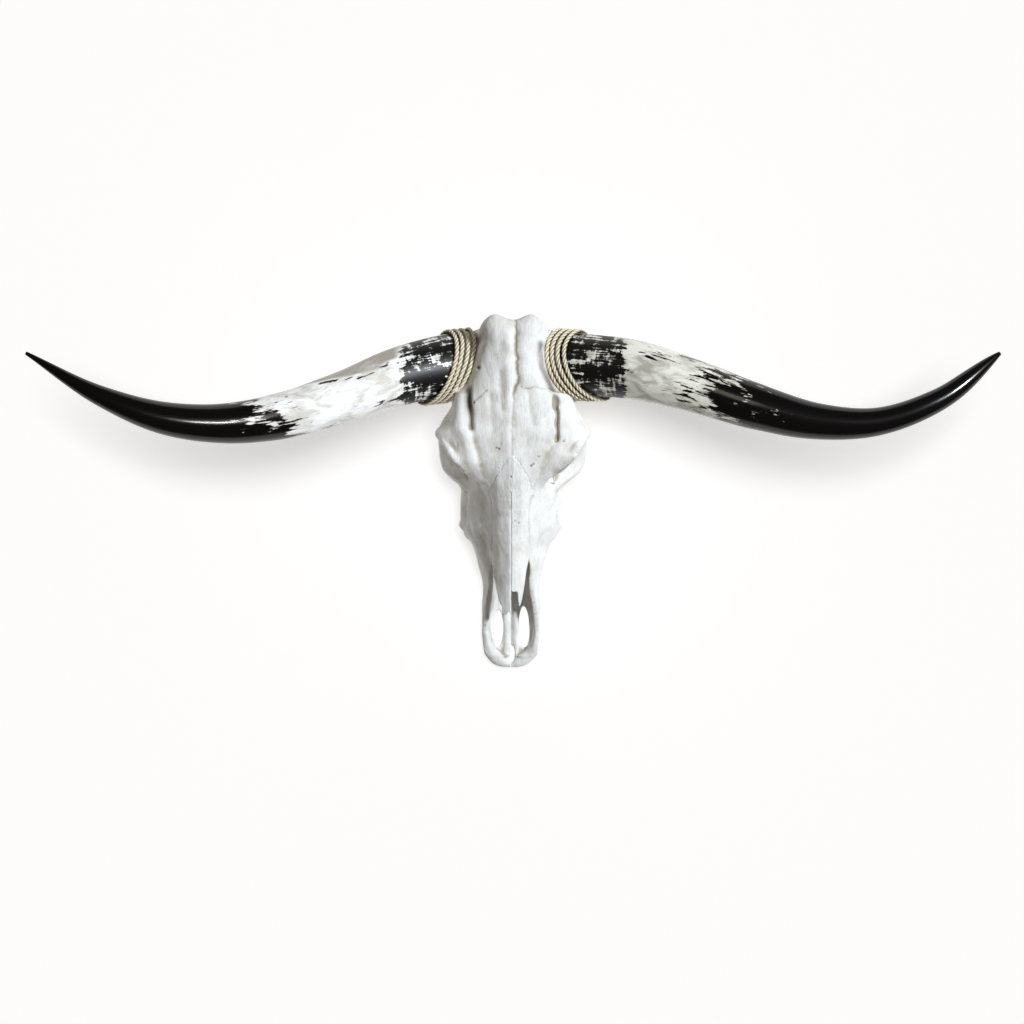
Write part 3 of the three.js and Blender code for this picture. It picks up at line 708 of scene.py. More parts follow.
def add_side(block, side):
    """One side's horn core, poll, eye socket, cheek, jaw hinge and skull base."""

    def out(x, y, z):
        return side * x, y, z

    block.join(horn_root(side, lambda a: -1.5, lambda a: 30, lambda a: 60), 9)
    block.join(ball(out(*POLL_KNOB[0]), POLL_KNOB[1]), 12)
    block.join(ball(out(66, 404, 108), (14, 19, 34)), 10)  # the ridge behind the ear
    block.join(bar(side, CHEEK_ARCH), 7)
    block.join(bar(side, CHEEK_FLOOR), 5)
    block.join(ball(out(59, 186.5, 63), (8.4, 6.5, 7), (0, 0, side * -0.4)), 4)  # cheek knob
    block.cut(ball(out(82, 343, 116), (30, 26, 24)), 6)  # temple
    block.cut(ball(out(EYE[0] + 6, EYE[1], EYE[2]), (54, 28, 26.5), (0, side * 0.1, side * 0.2)), 4)
    block.join(eye_rim(side), 4)
    block.join(ball(out(65, 276, 149), (15, 16, 12.5), (0, side * 0.12, 0)), 6)  # over the eye
    block.join(ball(out(56, 262, 145), (12, 12, 11.5)), 6)
    block.cut(bar(side, SOCKET_SLIT), 3)
    block.join(bar(side, BEHIND_EYE), 5)
    block.join(bar(side, JAW_HINGE), 5)
    block.join(bar(side, NECK_PRONG), 7)
    block.join(bar(side, WING_PLATE), 3)
    block.join(bar(side, EAR_TUBE), 4)
    block.cut(ball(out(82, 390, 93), (12, 3.4, 3.4)), 1.5)  # the ear tube's hole
    block.join(ball(out(33, 372, 50), (11, 18, 17)), 3)  # the bubble of the middle ear
    block.join(bar(side, [[30, 352, 44, 2.5, 4], [27, 338, 30, 1.6, 2]]), 4)  # its spike
    block.join(ball(out(22, 425, 61), (12, 15, 20), (0.3, 0, side * -0.35)), 4)  # neck joint
    block.join(ball(out(15, 384, 50), (7, 9, 6)), 5)
    block.cut(ball(out(22, 447, 126), (17, 13, 26)), 9)  # nape hollow
    block.cut(ball(out(42, 402, 58), (5, 8, 7)), 2)
    block.cut(ball(out(23, 335, 62), (4, 7, 4)), 2)  # a nerve's hole in the base
    block.cut(bar(side, BROW_GROOVE[side]), 1.5)
    block.cut(bar(side, [[47, 128, 50, 4, 4], [44, 146, 54, 4.2, 5], [38, 165, 56, 3, 3]]), 2)
    block.cut(ball(out(72, 236, 108), (9, 9, 7)), 4)  # the tear duct's corner


def seat_horn(block, side):
    """Cuts room for the rope round the horn core, and gives back the core under it."""
    facts = ROPES[side]

    def first_turn(angle):
        turn = (angle / np.pi - 1) / 2 % 1 - ROPE_TURNS / 2
        across = turn * (facts["pitch"] - facts["gather"] * np.sin(angle))
        return facts["middle"] + rope_lean(side, angle) + across - ROPE_RADIUS - 1.2

    def sheath(angle):
        return facts["middle"] + rope_lean(side, angle) + 2

    def rope_room(angle):
        upper = ease(angle, -0.9, -0.3) * (1 - ease(angle, 1.9, 2.7))
        return 2 * ROPE_RADIUS + 0.8 + 20 * upper

    block.cut(horn_root(side, rope_room, first_turn, lambda a: 300), 5.0)
    block.join(horn_root(side, lambda a: -0.4, lambda a: 30, sheath), 0.8)


# Height maps: the function, the box that it works in, and the levels between which it
# fades in, so that only the upper surface moves.
RELIEFS = [
    (relief, (-110, 200, 100), (110, 460, 260), (132, 150)),
    (face_relief, (-110, 90, 60), (110, 270, 200), (74, 92)),
]


def skull_block(low, high, step):
    """The distance field of the whole skull in one box."""
    block = Block(low, high, step)
    block.join(loft(FACE, *FACE_POWERS), 0.1)
    block.join(loft(BROW, *BROW_POWERS), 12)
    block.join(loft(BRAINCASE, *BRAINCASE_POWERS), 10)
    block.join(bar(1, BASE_BAR), 6)
    for side in (-1, 1):
        add_side(block, side)
    block.join(ball((0, 436, 150), (11, 7, 22)), 8)  # the ridge down the nape
    block.cut(bar(1, NECK_HOLE), 3)
    block.cut(bar(1, THROAT), 3)
    block.cut(ball((0, 176, 10), (31, 84, 19)), 5)  # the vault of the palate
    for side in (-1, 1):
        seat_horn(block, side)
    for height, near, far, levels in RELIEFS:
        spans, (x, y, z) = block.within(near, far)
        if block.values[spans].size:
            lifted = height(x, y) * ease(z, *levels)
            block.values[spans] -= lifted.astype(np.float32)
    return block


def seam_of(line, x, z):
    """The toothed seam that crosses the side of the face: Y at each height, from a line
    of [y, z] points, with interlocking teeth a few millimetres long."""
    points = np.array(line, float)
    place = np.interp(z, points[:, 1], points[:, 0])
    teeth = np.sin(z * 1.15 + 2.2 * np.sin(z * 0.27)) + 0.6 * np.sin(z * 2.6 + x * 0.6)
    return place + 0.8 * teeth * ease(z, 20, 40)


def plan_distance(outline, x, y):
    """Distance in plan to a closed outline of [x, y] points, negative inside it: the
    nearest of its straight sides, signed by how many of them a ray from the point
    crosses."""
    points = np.concatenate([outline, outline[:1]])
    px, py = np.meshgrid(x, y, indexing="ij")
    far = away_from(px, py, points)
    inside = np.zeros(px.shape, bool)
    for (ax, ay), (bx, by) in zip(points[:-1], points[1:]):
        slant = (bx - ax) / (by - ay + 1e-12)
        inside ^= ((ay > py) != (by > py)) & (px < (py - ay) * slant + ax)
    return np.where(inside, -far, far)[:, :, None].astype(np.float32)


NASAL_EDGE = {
    -1: [
        [3.2, 74], [5, 71], [8.5, 70], [10.5, 72], [11.6, 76], [11.2, 81], [13.6, 83.5], [15.6, 89],
        [17.8, 98], [19.4, 107], [20.6, 116], [22.6, 118.5], [23.6, 132], [25.8, 147], [28.5, 162],
        [31, 185], [30.5, 212], [27, 230], [20, 246], [11, 260], [5, 268],
    ],
    1: [
        [2.2, 100.5], [3.4, 99], [4.4, 101.2], [5.6, 99.6], [7, 101], [8.2, 98], [8.6, 90], [9.4, 82],
        [10.6, 80.5], [12, 84], [13.6, 89.5], [15.8, 100], [17.5, 110], [19.6, 128], [23, 142],
        [28, 156], [31.5, 170], [32.5, 185], [31.5, 212], [27, 230], [20, 246], [11, 260], [5, 268],
    ],
}


def nasal_plan(side, grown):
    """The plan of one nasal bone from its edge of [out, y] points, with small teeth along
    the joints and grown outwards by a clearance."""
    edge = np.array(NASAL_EDGE[side], float)
    places = lengths_along(edge)
    fine = np.arange(0, places[-1], 1.2)
    out = np.interp(fine, places, edge[:, 0])
    y = np.interp(fine, places, edge[:, 1])
    teeth = (np.sin(y * 1.3) + 0.6 * np.sin(y * 3.1)) * 0.35 * ease(y, 165, 190)
    ahead = np.where(fine < (30 if side > 0 else 22), -grown, 0)
    edge = np.stack([side * (out + teeth + grown), y + ahead], 1)
    inner = side * (SEAM / 2 - grown) * np.ones(2)
    ends = np.stack([inner, [268 + grown, edge[0, 1]]], 1)
    return np.concatenate([edge, ends])


def beds(x, y):
    """Distance in plan to the place of either nasal bone, with its clearance."""
    both = [plan_distance(nasal_plan(side, LAP), x.ravel(), y.ravel()) for side in (-1, 1)]
    return np.minimum(*both)


BROW_SEAM = [[262, -5], [258, 34], [216, 66], [206, 92], [229, 124], [229, 220]]
MUZZLE_SEAM = [[58, -5], [62, 22], [100, 55], [147, 96.5], [147, 220]]
BONE_TONES = ("#EDEDEB", "#D6D3CB")  # bleached bone, and where it keeps its cream
BONE_STAIN_AND_SHADE = "#A99B84"
BONE_DARK = "#4B4034"
SMOOTHINGS = 3
HOLLOW_REACH = 16  # steps to each side over which a hollow is judged


class Look:
    """A node material in the making. Each method adds one step and gives back its output;
    a colour is a hex value or such an output."""

    def __init__(self, name):
        self.material, self.shader = new_material(name)

    def place(self):
        return add_node(self.material, "TexCoord").outputs["Object"]

    def mark(self, name, output="Fac"):
        """A value that the piece carries at its points."""
        return add_node(self.material, "Attribute", {"attribute_name": name}).outputs[output]

    def noise(self, where, lengths, detail, roughness=0.5, distortion=0.0, turn=0.0):
        """Cloudy noise, drawn out to those lengths along X, Y and Z and turned about Z."""
        scale = [1 / length for length in lengths]
        drawn = add_node(self.material, "Mapping", Vector=where, Rotation=(0, 0, turn), Scale=scale)
        return add_node(
            self.material, "TexNoise", Vector=drawn.outputs[0], Scale=1, Detail=detail,
            Roughness=roughness, Distortion=distortion,
        ).outputs["Fac"]

    def between(self, value, low, high, start=0.0, end=1.0):
        """Start at low, end at high, and a straight change between them."""
        return add_node(
            self.material, "MapRange", Value=value, From_Min=low, From_Max=high, To_Min=start,
            To_Max=end,
        ).outputs[0]

    def times(self, value, factor, plus=0.0):
        """Value x factor + plus."""
        settings = {"operation": "MULTIPLY_ADD"}
        return add_node(self.material, "Math", settings, in0=value, in1=factor, in2=plus).outputs[0]

    def mixed(self, share, first, second):
        """The first colour, with that share of the second."""
        first, second = (linear(c) if isinstance(c, str) else c for c in (first, second))
        settings = {"data_type": "RGBA"}
        return add_node(self.material, "Mix", settings, Factor=share, in6=first, in7=second).outputs[2]

    def bumped(self, height, strength, millimetres):
        """Joins a bump to the shader."""
        reach = millimetres * MM
        bump = add_node(self.material, "Bump", Height=height, Strength=strength, Distance=reach)
        feed(self.material, self.shader, Normal=bump.outputs[0])


def bone_material():
    """Bleached bone: near white and matt, with fine pores and hairline grain along the skull. Its hollows
    are painted a darker cream, as dirt and as painted shade; its joints, pits and cracks are dark, and so
    are the painted shade in the brow grooves and a painted shadow beside the right rope."""
    look = Look("bleached bone, dry and matt")
    where = look.place()
    cloud = look.noise(where, [26 * MM] * 3, 5, 0.6)
    grain = look.noise(where, (0.9 * MM, 16 * MM, 2.2 * MM), 4, 0.65)
    wrinkle = look.noise(where, (3.4 * MM, 19 * MM, 6 * MM), 3, distortion=0.9, turn=0.06)
    pores = add_node(look.material, "TexVoronoi", Vector=where, Scale=1 / (2.4 * MM))
    colour = look.mixed(look.between(cloud, 0.42, 0.72), *BONE_TONES)
    colour = look.mixed(look.between(grain, 0.56, 0.78, end=0.6), colour, BONE_STAIN_AND_SHADE)
    # The hollows are painted darker towards the stain colour, as dirt and as painted shade. The dark mark
    # then adds the joints, pits and cracks, painted shade in the brow grooves and a painted shadow beside
    # the right rope.
    dust_and_shade = look.between(look.mark("hollow"), 0.06, 1.0, end=0.85)
    colour = look.mixed(look.mark("joint"), look.mixed(dust_and_shade, colour, BONE_STAIN_AND_SHADE), BONE_DARK)
    feed(look.material, look.shader, Base_Color=colour, Roughness=0.62, Specular_IOR_Level=0.35)
    pitted = look.times(look.between(pores.outputs["Distance"], 0, 0.25, -1.0, 0), 1.0, grain)
    look.bumped(look.times(wrinkle, 1.6, pitted), 0.7, 0.5)
    return look.material


bone = bone_material()


def lean_of_muzzle(points):
    """The head isn't quite even: the muzzle drifts two millimetres to the left."""
    moved = points.copy()
    moved[:, 0] -= 2.3 * (1 - ease(points[:, 1], 215, 290))
    return moved


def wear_brow(points, top):
    """Cuts the pits, scratch, crack and groove edges into the brow's points, and gives back how dark each
    point is: darker in the joint, pits, scratch, crack and edges, with painted shade on the floor of the
    brow grooves and a painted shadow beside the right rope. top is one on the upper side."""
    x, y = points[:, 0], points[:, 1]
    joint = (0.3 + 0.35 * ease(y, 335, 358)) * mound(middle_joint(x, y), 1.2) * ease(y, 246, 262) * top
    for px, py, size in PITS:
        away = np.hypot(x - px, y - py)
        dip = mound(away, size) * top
        points[:, 2] += 0.5 * mound(away - 2.2 * size, 0.8 * size) * top - 2.2 * dip
        joint = np.maximum(joint, dip)
    for path, dark in ((SCRATCH, 0.5), (BROW_CRACK, 0.35)):
        away = away_from(x, y + wander(x, 0.9), path)
        points[:, 2] -= 0.5 * mound(away, 1.1) * top
        joint = np.maximum(joint, dark * mound(away, 0.9) * top)
    for side in (-1, 1):
        path = np.array(BROW_GROOVE[side], float)[::-1]
        floor_of = np.interp(y, path[:, 1], path[:, 2]) + 2.5
        near = mound(away_from(side * x, y, path[:, :2]), 5)
        # Painted shade on the floor of each brow groove, darker towards the poll
        dark = GROOVE_PAINTED_SHADE[side] * (0.3 + 0.7 * ease(y, 318, 334))
        joint = np.maximum(joint, dark * near * ease(floor_of - points[:, 2], 0, 3))
        away = away_from(side * x, y + 0.7 * wander(x * 2.3, 1.0), EYE_EDGE)
        hatch = ease(np.sin(2.1 * (0.63 * side * x + 0.77 * y) + 2 * np.sin(x / 3)), 0.5, 0.95)
        points[:, 2] -= 0.7 * mound(away, 1.3) * top
        joint = np.maximum(joint, 0.6 * mound(away, 1.0) * top)
        joint = np.maximum(joint, EDGE_HATCH[side] * hatch * mound(away - 2.5, 3.0) * top)
    # A painted shadow: a dark band on the bone beside the right rope, where the rope shades it
    return np.maximum(joint, 0.75 * mound(away_from(x, y, ROPE_PAINTED_SHADOW), 4.0) * top)


def finish_bone(name, block, region, node):
    """Skins one bone, wears its surface and adds it to the scene. Its joints with other
    bones stay sharp; the rest is smoothed, then roughened, pitted and cracked."""
    points, quads, depth = skin(block, region)
    free = ease(depth, 0.2, 1.4)[:, None]
    for _ in range(SMOOTHINGS):
        points = points + 0.5 * free * (neighbours_mean(points, quads) - points)
    out = normals(points, quads)
    lumps = 0.5 * rough(points, (24, 38, 24), 2) + 0.4 * rough(points, (8, 17, 8), 3)
    lumps = lumps + 0.22 * rough(points, (3, 8, 3), 4)
    points = points + out * (lumps * ease(depth, 0, 0.8))[:, None]
    # The dark mark: joints, pits and cracks, with painted shade in the brow grooves and a painted shadow
    # beside the right rope
    joint = wear_brow(points, ease(out[:, 2], 0.1, 0.5) * ease(points[:, 2], 120, 140))
    flat = points
    for _ in range(HOLLOW_REACH):
        flat = neighbours_mean(flat, quads)
    # How deep each point lies in a hollow, below its smoothed surroundings; the material paints it darker,
    # as dirt and painted shade.
    hollow = np.clip(np.einsum("ij,ij->i", flat - points, out) / 0.8, 0, 1) * ease(depth, 2, 8)
    marks = {"hollow": hollow, "joint": joint}
    piece = mesh_piece(name, lean_of_muzzle(points), quads, bone, marks)
    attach(piece, "root")
    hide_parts(node)


def nasal_roof(block, inset):
    """Distance to the part of the roof that the nasal bones take, to that depth."""
    x, y, z = block.grids()
    inner = loft(FACE, *FACE_POWERS, inset)[2](x, y, z)
    return x, y, z, np.maximum(beds(x, y), -inner)


CRANIUM_STEP = 1.66  # millimetres between the points that its surface is found from

cranium_block = skull_block((-106, 200, -3), (106, 452, 214), CRANIUM_STEP)
x, y, z, roof = nasal_roof(cranium_block, BONE_WALL + SEAM)
behind = seam_of(BROW_SEAM, x, z) + LAP - y
region = np.maximum(np.maximum(behind, -roof), -z + 0 * roof)
finish_bone("cranium_bone", cranium_block, region, "cranium")


# --- Upper jaw bones --------------------------------------------------------------
# The two maxillae: the sides of the face, the hard palate and the sockets of the cheek
# teeth. They are cut from the same field between the muzzle seam and the brow seam, and
# hollowed by the nasal cavity, which is open in front.

OPENING_RIM = [[12, 33], [40, 41], [100, 73], [147, 98]]
CAVITY_DEPTH = 152
JAW_STEP = 1.25
NOSE_STEP = 1.0


def cavity(x, y, z):
    """Distance to the air of the nose: inside the bone's wall, or above the sloping rim
    of the nasal opening."""
    inner = loft(FACE, *FACE_POWERS, BONE_WALL)[2](x, y, z) + 1.5 * (1 - ease(y, 70, 130))
    inner = soft_most(inner, y - CAVITY_DEPTH, 20)
    rim = np.array(OPENING_RIM, float)
    edge = np.interp(y, rim[:, 0], rim[:, 1])
    above = soft_most(0.86 * (edge - z), y - OPENING_RIM[-1][0], 1.0)
    return soft_least(inner, above + 0 * inner, 3.0)


def fissure(x, y, centre, half_width, half_length, lean):
    """Distance in plan to a long oval hole whose middle line leans."""
    along = (y - centre[1]) / half_length
    middle = centre[0] + lean * along
    ratio = np.sqrt(((x - middle) / half_width) ** 2 + along**2) + 1e-6
    return (ratio - 1) * half_width


def holes(x, y):
    """Distance in plan to the three slits in the roof of the muzzle."""
    left = fissure(x, y, (-16.7, 50), 6.0, 24.2, 0.4)
    right = fissure(x, y, (17.0, 52.5), 6.6, 26.5, -0.8)
    front = fissure(x, y, (1.7, 16.8), 2.4, 10.8, 0.3)
    return np.minimum(np.minimum(left, right), front)


jaw_block = skull_block((-84, 56, -3), (84, 268, 160), JAW_STEP)
x, y, z, roof = nasal_roof(jaw_block, BONE_WALL + SEAM)
air = cavity(x, y, z)
between = np.maximum(seam_of(MUZZLE_SEAM, x, z) + LAP - y, y - seam_of(BROW_SEAM, x, z) + LAP)
open_face = np.maximum(np.maximum(-roof, -air), -holes(x, y))
for side, name in ((-1, "left"), (1, "right")):
    region = np.maximum(np.maximum(between, open_face), SEAM / 2 - side * x)
    finish_bone("maxilla_bone_" + name, jaw_block, region, "maxilla_" + name)


# --- Cheek teeth ------------------------------------------------------------------
# Three small and three large high-crowned grinding teeth on each side, ivory enamel
# ribbed down the cheek side, each a stack of rings whose ribs and chewed top come from
# a radius round its middle.


def once_round(count):
    """Even angles once round, as one row."""
    return np.linspace(0, 2 * np.pi, count, endpoint=False)[None, :]


def with_ends(rings):
    """The rings' values in one list, and after them the mean of the first and last ring."""
    rings = np.asarray(rings, float)
    flat = rings.reshape(-1, *rings.shape[2:])
    return np.concatenate([flat, rings[:1].mean(1), rings[-1:].mean(1)])


def capped(rings):
    """The triangles of a closed body over rings of points, its ends fans about two middle
    points that with_ends adds, all facing outwards."""
    rows, columns = rings.shape[:2]
    row, column = np.meshgrid(np.arange(rows - 1), np.arange(columns), indexing="ij")
    here, beside = row * columns + column, row * columns + (column + 1) % columns
    walls = np.stack([here, beside, beside + columns, here, beside + columns, here + columns], -1)
    ring, onward = np.arange(columns), (np.arange(columns) + 1) % columns
    last = (rows - 1) * columns
    start = np.stack([onward, ring, 0 * ring + rows * columns], 1)
    end = np.stack([last + ring, last + onward, 0 * ring + rows * columns + 1], 1)
    faces = np.concatenate([walls.reshape(-1, 3), start, end])
    corners = with_ends(rings)[faces]
    volume = np.einsum("ij,ij->", corners[:, 0], np.cross(corners[:, 1], corners[:, 2]))
    return faces if volume > 0 else faces[:, ::-1]


TOOTH_LENGTHS = [14, 16, 17, 22, 25, 27]
TOOTH_ROW_START = 121
TOOTH_PLACE = [[121, 31, 5.6], [150, 37.5, 7.6], [190, 45, 10], [242, 43.5, 9.4]]
TOOTH_TOP = 34  # how high up its socket each crown is built
TOOTH_SIDES = 72
TOOTH_POWER = 3.2  # of its outline, a rounded square
TOOTH_GAP = 0.25
ENAMEL = "#E8DFC8"
TARTAR = "#5E4A30"


def tooth_material():
    """Old cattle teeth: ivory enamel, with brown tartar up the crown and in the hollows."""
    look = Look("tooth enamel, ivory and tartar")
    stain = look.noise(look.place(), (2 * MM, 2 * MM, 12 * MM), 4, 0.6)
    share = look.between(look.times(stain, 0.5, look.mark("hollow")), 0.25, 1.1)
    colour = look.mixed(share, ENAMEL, TARTAR)
    feed(look.material, look.shader, Base_Color=colour, Roughness=0.35)
    return look.material


def grinding_tooth(side, start, length):
    """One tooth: its outline is a superellipse with ribs, drawn in towards the root, and
    its chewed face at the floor has two crescent hollows."""
    turn = once_round(TOOTH_SIDES)
    middle = start + length / 2
    across, half = (np.interp(middle, *np.array(TOOTH_PLACE, float)[:, [0, k]].T) for k in (1, 2))
    cos, sin = np.cos(turn), np.sin(turn)
    outline = (np.abs(cos) ** TOOTH_POWER + np.abs(sin) ** TOOTH_POWER) ** (-1 / TOOTH_POWER)
    ribs = 0.055 * np.cos(6 * turn * np.sign(cos)) * np.maximum(cos, 0)
    ribs = ribs - 0.1 * mound(sin, 0.16) * (cos < 0)
    ring = outline * (1 + ribs)
    heights = np.concatenate([np.zeros(9), [0.5, 1.5, 4, 10, 18, 26, TOOTH_TOP]])[:, None]
    crown = [0.985, 1, 1, 0.99, 0.97, 0.94, 0.9]
    shrink = np.concatenate([np.linspace(0.06, 0.94, 9), crown])[:, None]
    x = half * ring * shrink * cos
    y = (length / 2 - TOOTH_GAP) * ring * shrink * sin
    crescent = mound(np.hypot(x / half * 1.5, (np.abs(y) / length * 4 - 1) * 1.1) - 0.42, 0.16)
    chewed = (heights == 0).astype(float)
    z = heights + chewed * 1.3 * crescent
    hollow = np.maximum(chewed * crescent, 0.55 * ease(heights, 8, 30) + 0.3 * (ribs < -0.02))
    points = np.stack([side * (across + x), middle + y + 0 * x, z + 0 * x], -1)
    return points, hollow + 0 * x


enamel = tooth_material()
for side, name in ((-1, "left"), (1, "right")):
    starts = TOOTH_ROW_START + np.concatenate([[0], np.cumsum(TOOTH_LENGTHS[:-1])])
    row = [grinding_tooth(side, start, length) for start, length in zip(starts, TOOTH_LENGTHS)]
    size = len(with_ends(row[0][0]))
    points = np.concatenate([with_ends(points) for points, _ in row])
    faces = np.concatenate([capped(points) + k * size for k, (points, _) in enumerate(row)])
    hollow = np.concatenate([with_ends(hollow) for _, hollow in row])
    piece = mesh_piece("cheek_teeth_" + name, lean_of_muzzle(points), faces, enamel, {"hollow": hollow})
    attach(piece, "root")
    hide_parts("maxilla_" + name)


# --- Premaxillae ------------------------------------------------------------------
# The two bones of the front of the muzzle, toothless in cattle: a rounded plate in
# front, a prong beside the midline and a long thin arm up the side of the nose opening.

FRONT_PLATE = [
    [1, 3.5, 24.5, 4, 5], [8, 6, 25.5, 6.6, 6], [16, 10, 26, 8.4, 6.6], [24, 17, 27, 8.2, 7.4],
    [30, 30, 29.5, 5.4, 8.8], [33.2, 46, 34, 3.8, 10],
]
MIDDLE_PRONG = [[6, 14, 25, 4.6, 4], [6, 50, 26, 4.4, 3.2], [6, 90, 29, 4.4, 3.2], [5, 118, 32, 3, 3]]

muzzle_block = skull_block((-46, -8, 8), (46, 156, 112), NOSE_STEP)
x, y, z, roof = nasal_roof(muzzle_block, BONE_WALL + SEAM)
air = cavity(x, y, z)
open_muzzle = soft_most(np.maximum(muzzle_block.values, -roof), -air, 2.0)
muzzle_block.values = open_muzzle.astype(np.float32)
for side in (-1, 1):
    muzzle_block.join(bar(side, FRONT_PLATE), 3)
    muzzle_block.join(bar(side, MIDDLE_PRONG), 2)
muzzle_block.values = soft_most(muzzle_block.values, -holes(x, y) + 0 * z, 2.0)
before = y - seam_of(MUZZLE_SEAM, x, z) + LAP
for side, name in ((-1, "left"), (1, "right")):
    region = np.maximum(before, SEAM / 2 - side * x)
    finish_bone("premaxilla_bone_" + name, muzzle_block, region, "premaxilla_" + name)


# --- Nasal bones ------------------------------------------------------------------
# Two long thin plates that roof the nose. Their tips are free: the left one ends in a
# notched point, and the right one is broken off short beside a thin spike.

nose_block = skull_block((-40, 62, 66), (40, 276, 176), NOSE_STEP)
x, y, z = nose_block.grids()
inner = loft(FACE, *FACE_POWERS, BONE_WALL)[2](x, y, z)
thin = inner + 3.0 * (1 - ease(y, 90, 190))
for side, name in ((-1, "left"), (1, "right")):
    plan = plan_distance(nasal_plan(side, 0.0), x.ravel(), y.ravel())
    region = np.maximum(plan + 0 * z, -thin)
    finish_bone("nasal_bone_" + name, nose_block, region, "nasal_" + name)


# --- Horns ------------------------------------------------------------------------
# Two sheaths of keratin over bony cores, sanded and polished to a high gloss. Each is
# one closed surface: rings round a smooth centre line that meet in a point at the tip.

HORN_STEPS = 460
HORN_SIDES = 110
LEAN_FADE = 76  # how far along the horn its rings keep the rope's lean
WAVE_HEIGHT, WAVE_FADE = 0.35, 160  # of the growth rings near the skull
TIP_LENGTH = 1.2  # the rounded end beyond the last ring
HORN_BLACK = "#070606"
HORN_UMBER = "#3B342C"
HORN_RIND = "#A39C90"  # a smooth band of older, unscraped horn along one edge
PALE_HORN = {-1: ("#F8F8F6", "#D2CFC7"), 1: ("#EAE8DC", "#AFAB9E")}  # ivory, and its smoky clouds
# How pale the horn is at each distance out from the midline: below zero it is black but
# for specks, above zero pale but for streaks.
PALENESS = {
    -1: [[60, -0.04], [110, -0.03], [132, 0.0], [146, 0.18], [205, 0.24], [255, 0.2], [288, 0.04],
         [315, -0.09], [345, -0.2], [420, -0.4], [600, -0.5]],
    1: [[55, -0.03], [105, -0.01], [134, -0.03], [143, 0.17], [190, 0.2], [232, 0.12], [250, -0.02],
        [280, -0.05], [306, -0.16], [370, -0.3], [420, -0.45], [600, -0.5]],
}


def horn_material(side):
    """Polished horn: black keratin clouded with ivory in one band, its colours drawn out
    in streaks along the growth. A clear wax polish gives sharp reflections."""
    look = Look("polished horn, waxed " + ("left" if side < 0 else "right"))
    grain = look.mark("grain", "Vector")
    pale, root, rind = (look.mark(name) for name in ("pale", "root", "rind"))

    def noise(long, wide, detail, distortion=0.0):
        return look.noise(grain, (long, wide, wide), detail, 0.62, distortion)

    cloud, streak, fibre = noise(40, 15, 6, 0.6), noise(26, 3.4, 6, 0.3), noise(16, 0.8, 3)
    across = look.times(look.times(noise(5, 20, 4), 1.0, -0.5), root)
    level = look.times(fibre, 0.12, look.times(across, 0.6, pale))
    level = look.times(cloud, 0.95, look.times(streak, 0.8, level))
    light = look.mixed(look.between(noise(34, 17, 7, 0.8), 0.44, 0.62), *PALE_HORN[side])
    light = look.mixed(look.between(fibre, 0.5, 0.75, 0.0, 0.3), light, HORN_UMBER)
    smooth = look.times(cloud, 1.1, look.times(rind, 1.0, -0.55))
    light = look.mixed(look.between(smooth, 0.25, 0.85), light, HORN_RIND)
    edge = look.mixed(look.between(level, 0.93, 0.965), HORN_BLACK, HORN_UMBER)
    whole = look.mixed(look.between(level, 0.955, 1.0), edge, light)
    gloss = look.between(root, 0, 1, 0.18, 0.42)
    feed(look.material, look.shader, Base_Color=whole, Roughness=gloss, IOR=1.5, Specular_IOR_Level=0.4)
    look.bumped(streak, 0.25, 0.3)
    return look.material


def left_markings(out, angle, pale):
    """The left horn's own markings: how pale it is with them, and its smooth rind, a band
    along its upper edge with dark streaks beside it."""
    pale = pale + np.cos(angle) * (0.16 * mound(out - 300, 32) - 0.08 * mound(out - 148, 16))
    band = np.interp(out, [150, 168, 187, 236, 262], [1.0, 1.15, 1.05, 0.6, 0.3])
    turned = (angle + 1.2) % (2 * np.pi) - 1.2
    reach = ease(out, 130, 150) * (1 - ease(out, 255, 285))
    rind = 0.85 * reach * (1 - ease(turned, band - 0.22, band - 0.02)) * ease(turned, -0.9, -0.5)
    pale = pale + 0.12 * rind + 0.1 * mound(turned - 1.6, 0.5) * reach
    pale = pale - 0.22 * mound(turned - band, 0.09) * ease(out, 162, 172) * (1 - ease(out, 234, 250))
    pale = pale - 0.24 * mound(turned - 2.3, 0.14) * ease(out, 122, 132) * (1 - ease(out, 165, 182))
    return pale - 0.2 * mound(turned - 2.75, 0.12) * ease(out, 190, 215), rind


for side, name in ((-1, "left"), (1, "right")):
    places, line, radius = centre_line(side)
    end = places[-1] - 0.5
    middle = ROPES[side]["middle"]
    along = np.linspace(middle + 0.8, end, HORN_STEPS)[:, None]
    angle = once_round(HORN_SIDES)
    leaned = np.minimum(along + rope_lean(side, angle) * np.exp(-(along - middle) / LEAN_FADE), end)
    waves = np.sin(leaned / 11 + 2 * np.sin(leaned / 47))
    surface = WAVE_HEIGHT * waves * np.exp(-(along - middle) / WAVE_FADE)
    rings = round_horn(side, leaned, angle + 0 * along, surface)
    girth = np.interp(leaned, places, radius)
    grain = np.stack([leaned, girth * np.cos(angle), girth * np.sin(angle)], -1)
    steps = np.array(PALENESS[side])
    out = np.abs(rings[..., 0])
    pale = np.interp(out, steps[:, 0], steps[:, 1]) + 0.02 * np.sin(2 * angle + 1)
    rind = 0 * pale
    if side < 0:
        pale, rind = left_markings(out, angle, pale)
    points = with_ends(rings)
    points[-1] += unit(line[-1] - line[-2]) * TIP_LENGTH
    root = 1 - ease(out, 130, 150)
    marks = {"grain": grain, "pale": pale, "root": root, "rind": rind}
    marks = {key: with_ends(value) for key, value in marks.items()}
    piece = mesh_piece("horn_sheath_" + name, points, capped(rings), horn_material(side), marks)
    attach(piece, "root")
    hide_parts("horn_" + name)


